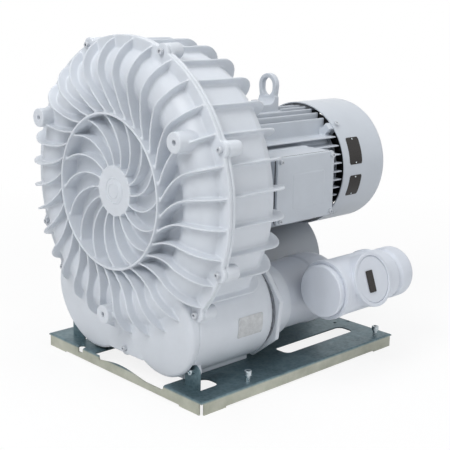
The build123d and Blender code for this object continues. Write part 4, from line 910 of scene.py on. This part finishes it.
def studio_floor():
    """A white floor that takes soft shadows near the object and glows white further off."""
    mesh = bpy.data.meshes.new("floor")
    corners = [(-1, -1), (1, -1), (1, 1), (-1, 1)]
    mesh.from_pydata([(FLOOR_HALF * x, FLOOR_HALF * y, 0) for x, y in corners], [],
                     [(0, 1, 2, 3)])
    floor = linked("floor", mesh)
    ground = Tree("floor")
    pale = ground.ramp(ground.noise(0.6, 2.0, 0.5), [(0.3, srgb(250, 250, 250)),
                                                    (0.7, srgb(254, 254, 254))])
    ground.set(Base_Color=pale, Roughness=0.9, Specular_IOR_Level=0.0)
    glow = ground.nodes.new("ShaderNodeEmission")
    glow.inputs["Color"].default_value = WHITE
    glow.inputs["Strength"].default_value = 1.0
    away = ground.nodes.new("ShaderNodeVectorMath")
    away.operation = "LENGTH"
    ground.links.new(ground.place, away.inputs[0])
    path = ground.nodes.new("ShaderNodeLightPath")
    share = ground.spread(away.outputs["Value"], 0.4, 2.0, 0.86, 1.0)
    shown = ground.math("MULTIPLY", path.outputs["Is Camera Ray"], share)
    choose = ground.nodes.new("ShaderNodeMixShader")
    ground.links.new(shown, choose.inputs["Fac"])
    ground.links.new(ground.shader.outputs[0], choose.inputs[1])
    ground.links.new(glow.outputs[0], choose.inputs[2])
    ground.links.new(choose.outputs[0], ground.nodes["Material Output"].inputs["Surface"])
    paint(floor, ground.material)


def studio_world():
    """A dim sky for light and a white one for the camera and for reflections."""
    world = bpy.data.worlds.new("studio")
    bpy.context.scene.world = world
    world.use_nodes = True
    sky = world.node_tree
    background = sky.nodes["Background"]
    background.inputs["Color"].default_value = (0.96, 0.98, 1.0, 1.0)
    background.inputs["Strength"].default_value = 0.34
    white = sky.nodes.new("ShaderNodeBackground")
    white.inputs["Color"].default_value = WHITE
    white.inputs["Strength"].default_value = 1.0
    ray = sky.nodes.new("ShaderNodeLightPath")
    seen = sky.nodes.new("ShaderNodeMath")
    seen.operation = "MAXIMUM"
    sky.links.new(ray.outputs["Is Camera Ray"], seen.inputs[0])
    sky.links.new(ray.outputs["Is Glossy Ray"], seen.inputs[1])
    choose = sky.nodes.new("ShaderNodeMixShader")
    sky.links.new(seen.outputs[0], choose.inputs["Fac"])
    sky.links.new(background.outputs[0], choose.inputs[1])
    sky.links.new(white.outputs[0], choose.inputs[2])
    sky.links.new(choose.outputs[0], sky.nodes["World Output"].inputs["Surface"])


def lamp(name, place, aim, size, power, colour=(1, 1, 1)):
    data = bpy.data.lights.new(name, "AREA")
    data.shape = "RECTANGLE"
    data.size, data.size_y = size
    data.energy = power
    data.color = colour
    obj = linked(name, data)
    obj.location = place
    obj.rotation_euler = (Vector(aim) - Vector(place)).to_track_quat("-Z", "Y").to_euler()


studio_floor()
studio_world()
lamp("key", (-2.4, -0.6, 2.6), (0.0, 0.0, 0.4), (1.5, 1.5), 54.0)
lamp("side", (0.9, -3.0, 1.5), (0.0, 0.0, 0.3), (1.6, 1.4), 19.0, (0.98, 0.99, 1.0))
lamp("top", (0.1, 0.3, 3.2), (0.0, 0.0, 0.3), (2.0, 2.0), 32.0)

# ------------------------------------------------------------------ camera
PHOTO_WIDTH, FOCAL_PIXELS, SENSOR_WIDTH = 450.0, 963.67, 36.0
CAMERA_PLACE = (-1.460, -1.532, 0.793)
YAW, PITCH, ROLL = math.radians(-43.7), math.radians(13.47), math.radians(1.08)


def photo_camera():
    """The camera that the photograph was solved for."""
    data = bpy.data.cameras.new("camera")
    camera = linked("camera", data)
    bpy.context.scene.camera = camera
    data.sensor_fit = "HORIZONTAL"
    data.sensor_width = SENSOR_WIDTH
    data.lens = FOCAL_PIXELS * SENSOR_WIDTH / PHOTO_WIDTH
    data.clip_end = 100.0
    forward = Vector((-math.sin(YAW) * math.cos(PITCH), math.cos(YAW) * math.cos(PITCH),
                      -math.sin(PITCH)))
    right = Vector((math.cos(YAW), math.sin(YAW), 0.0))
    up = right.cross(forward)
    right, up = (right * math.cos(ROLL) + up * math.sin(ROLL),
                 -right * math.sin(ROLL) + up * math.cos(ROLL))
    camera.matrix_world = Matrix((right, up, -forward)).transposed().to_4x4()
    camera.location = CAMERA_PLACE


photo_camera()
bpy.context.scene.view_settings.view_transform = "Standard"
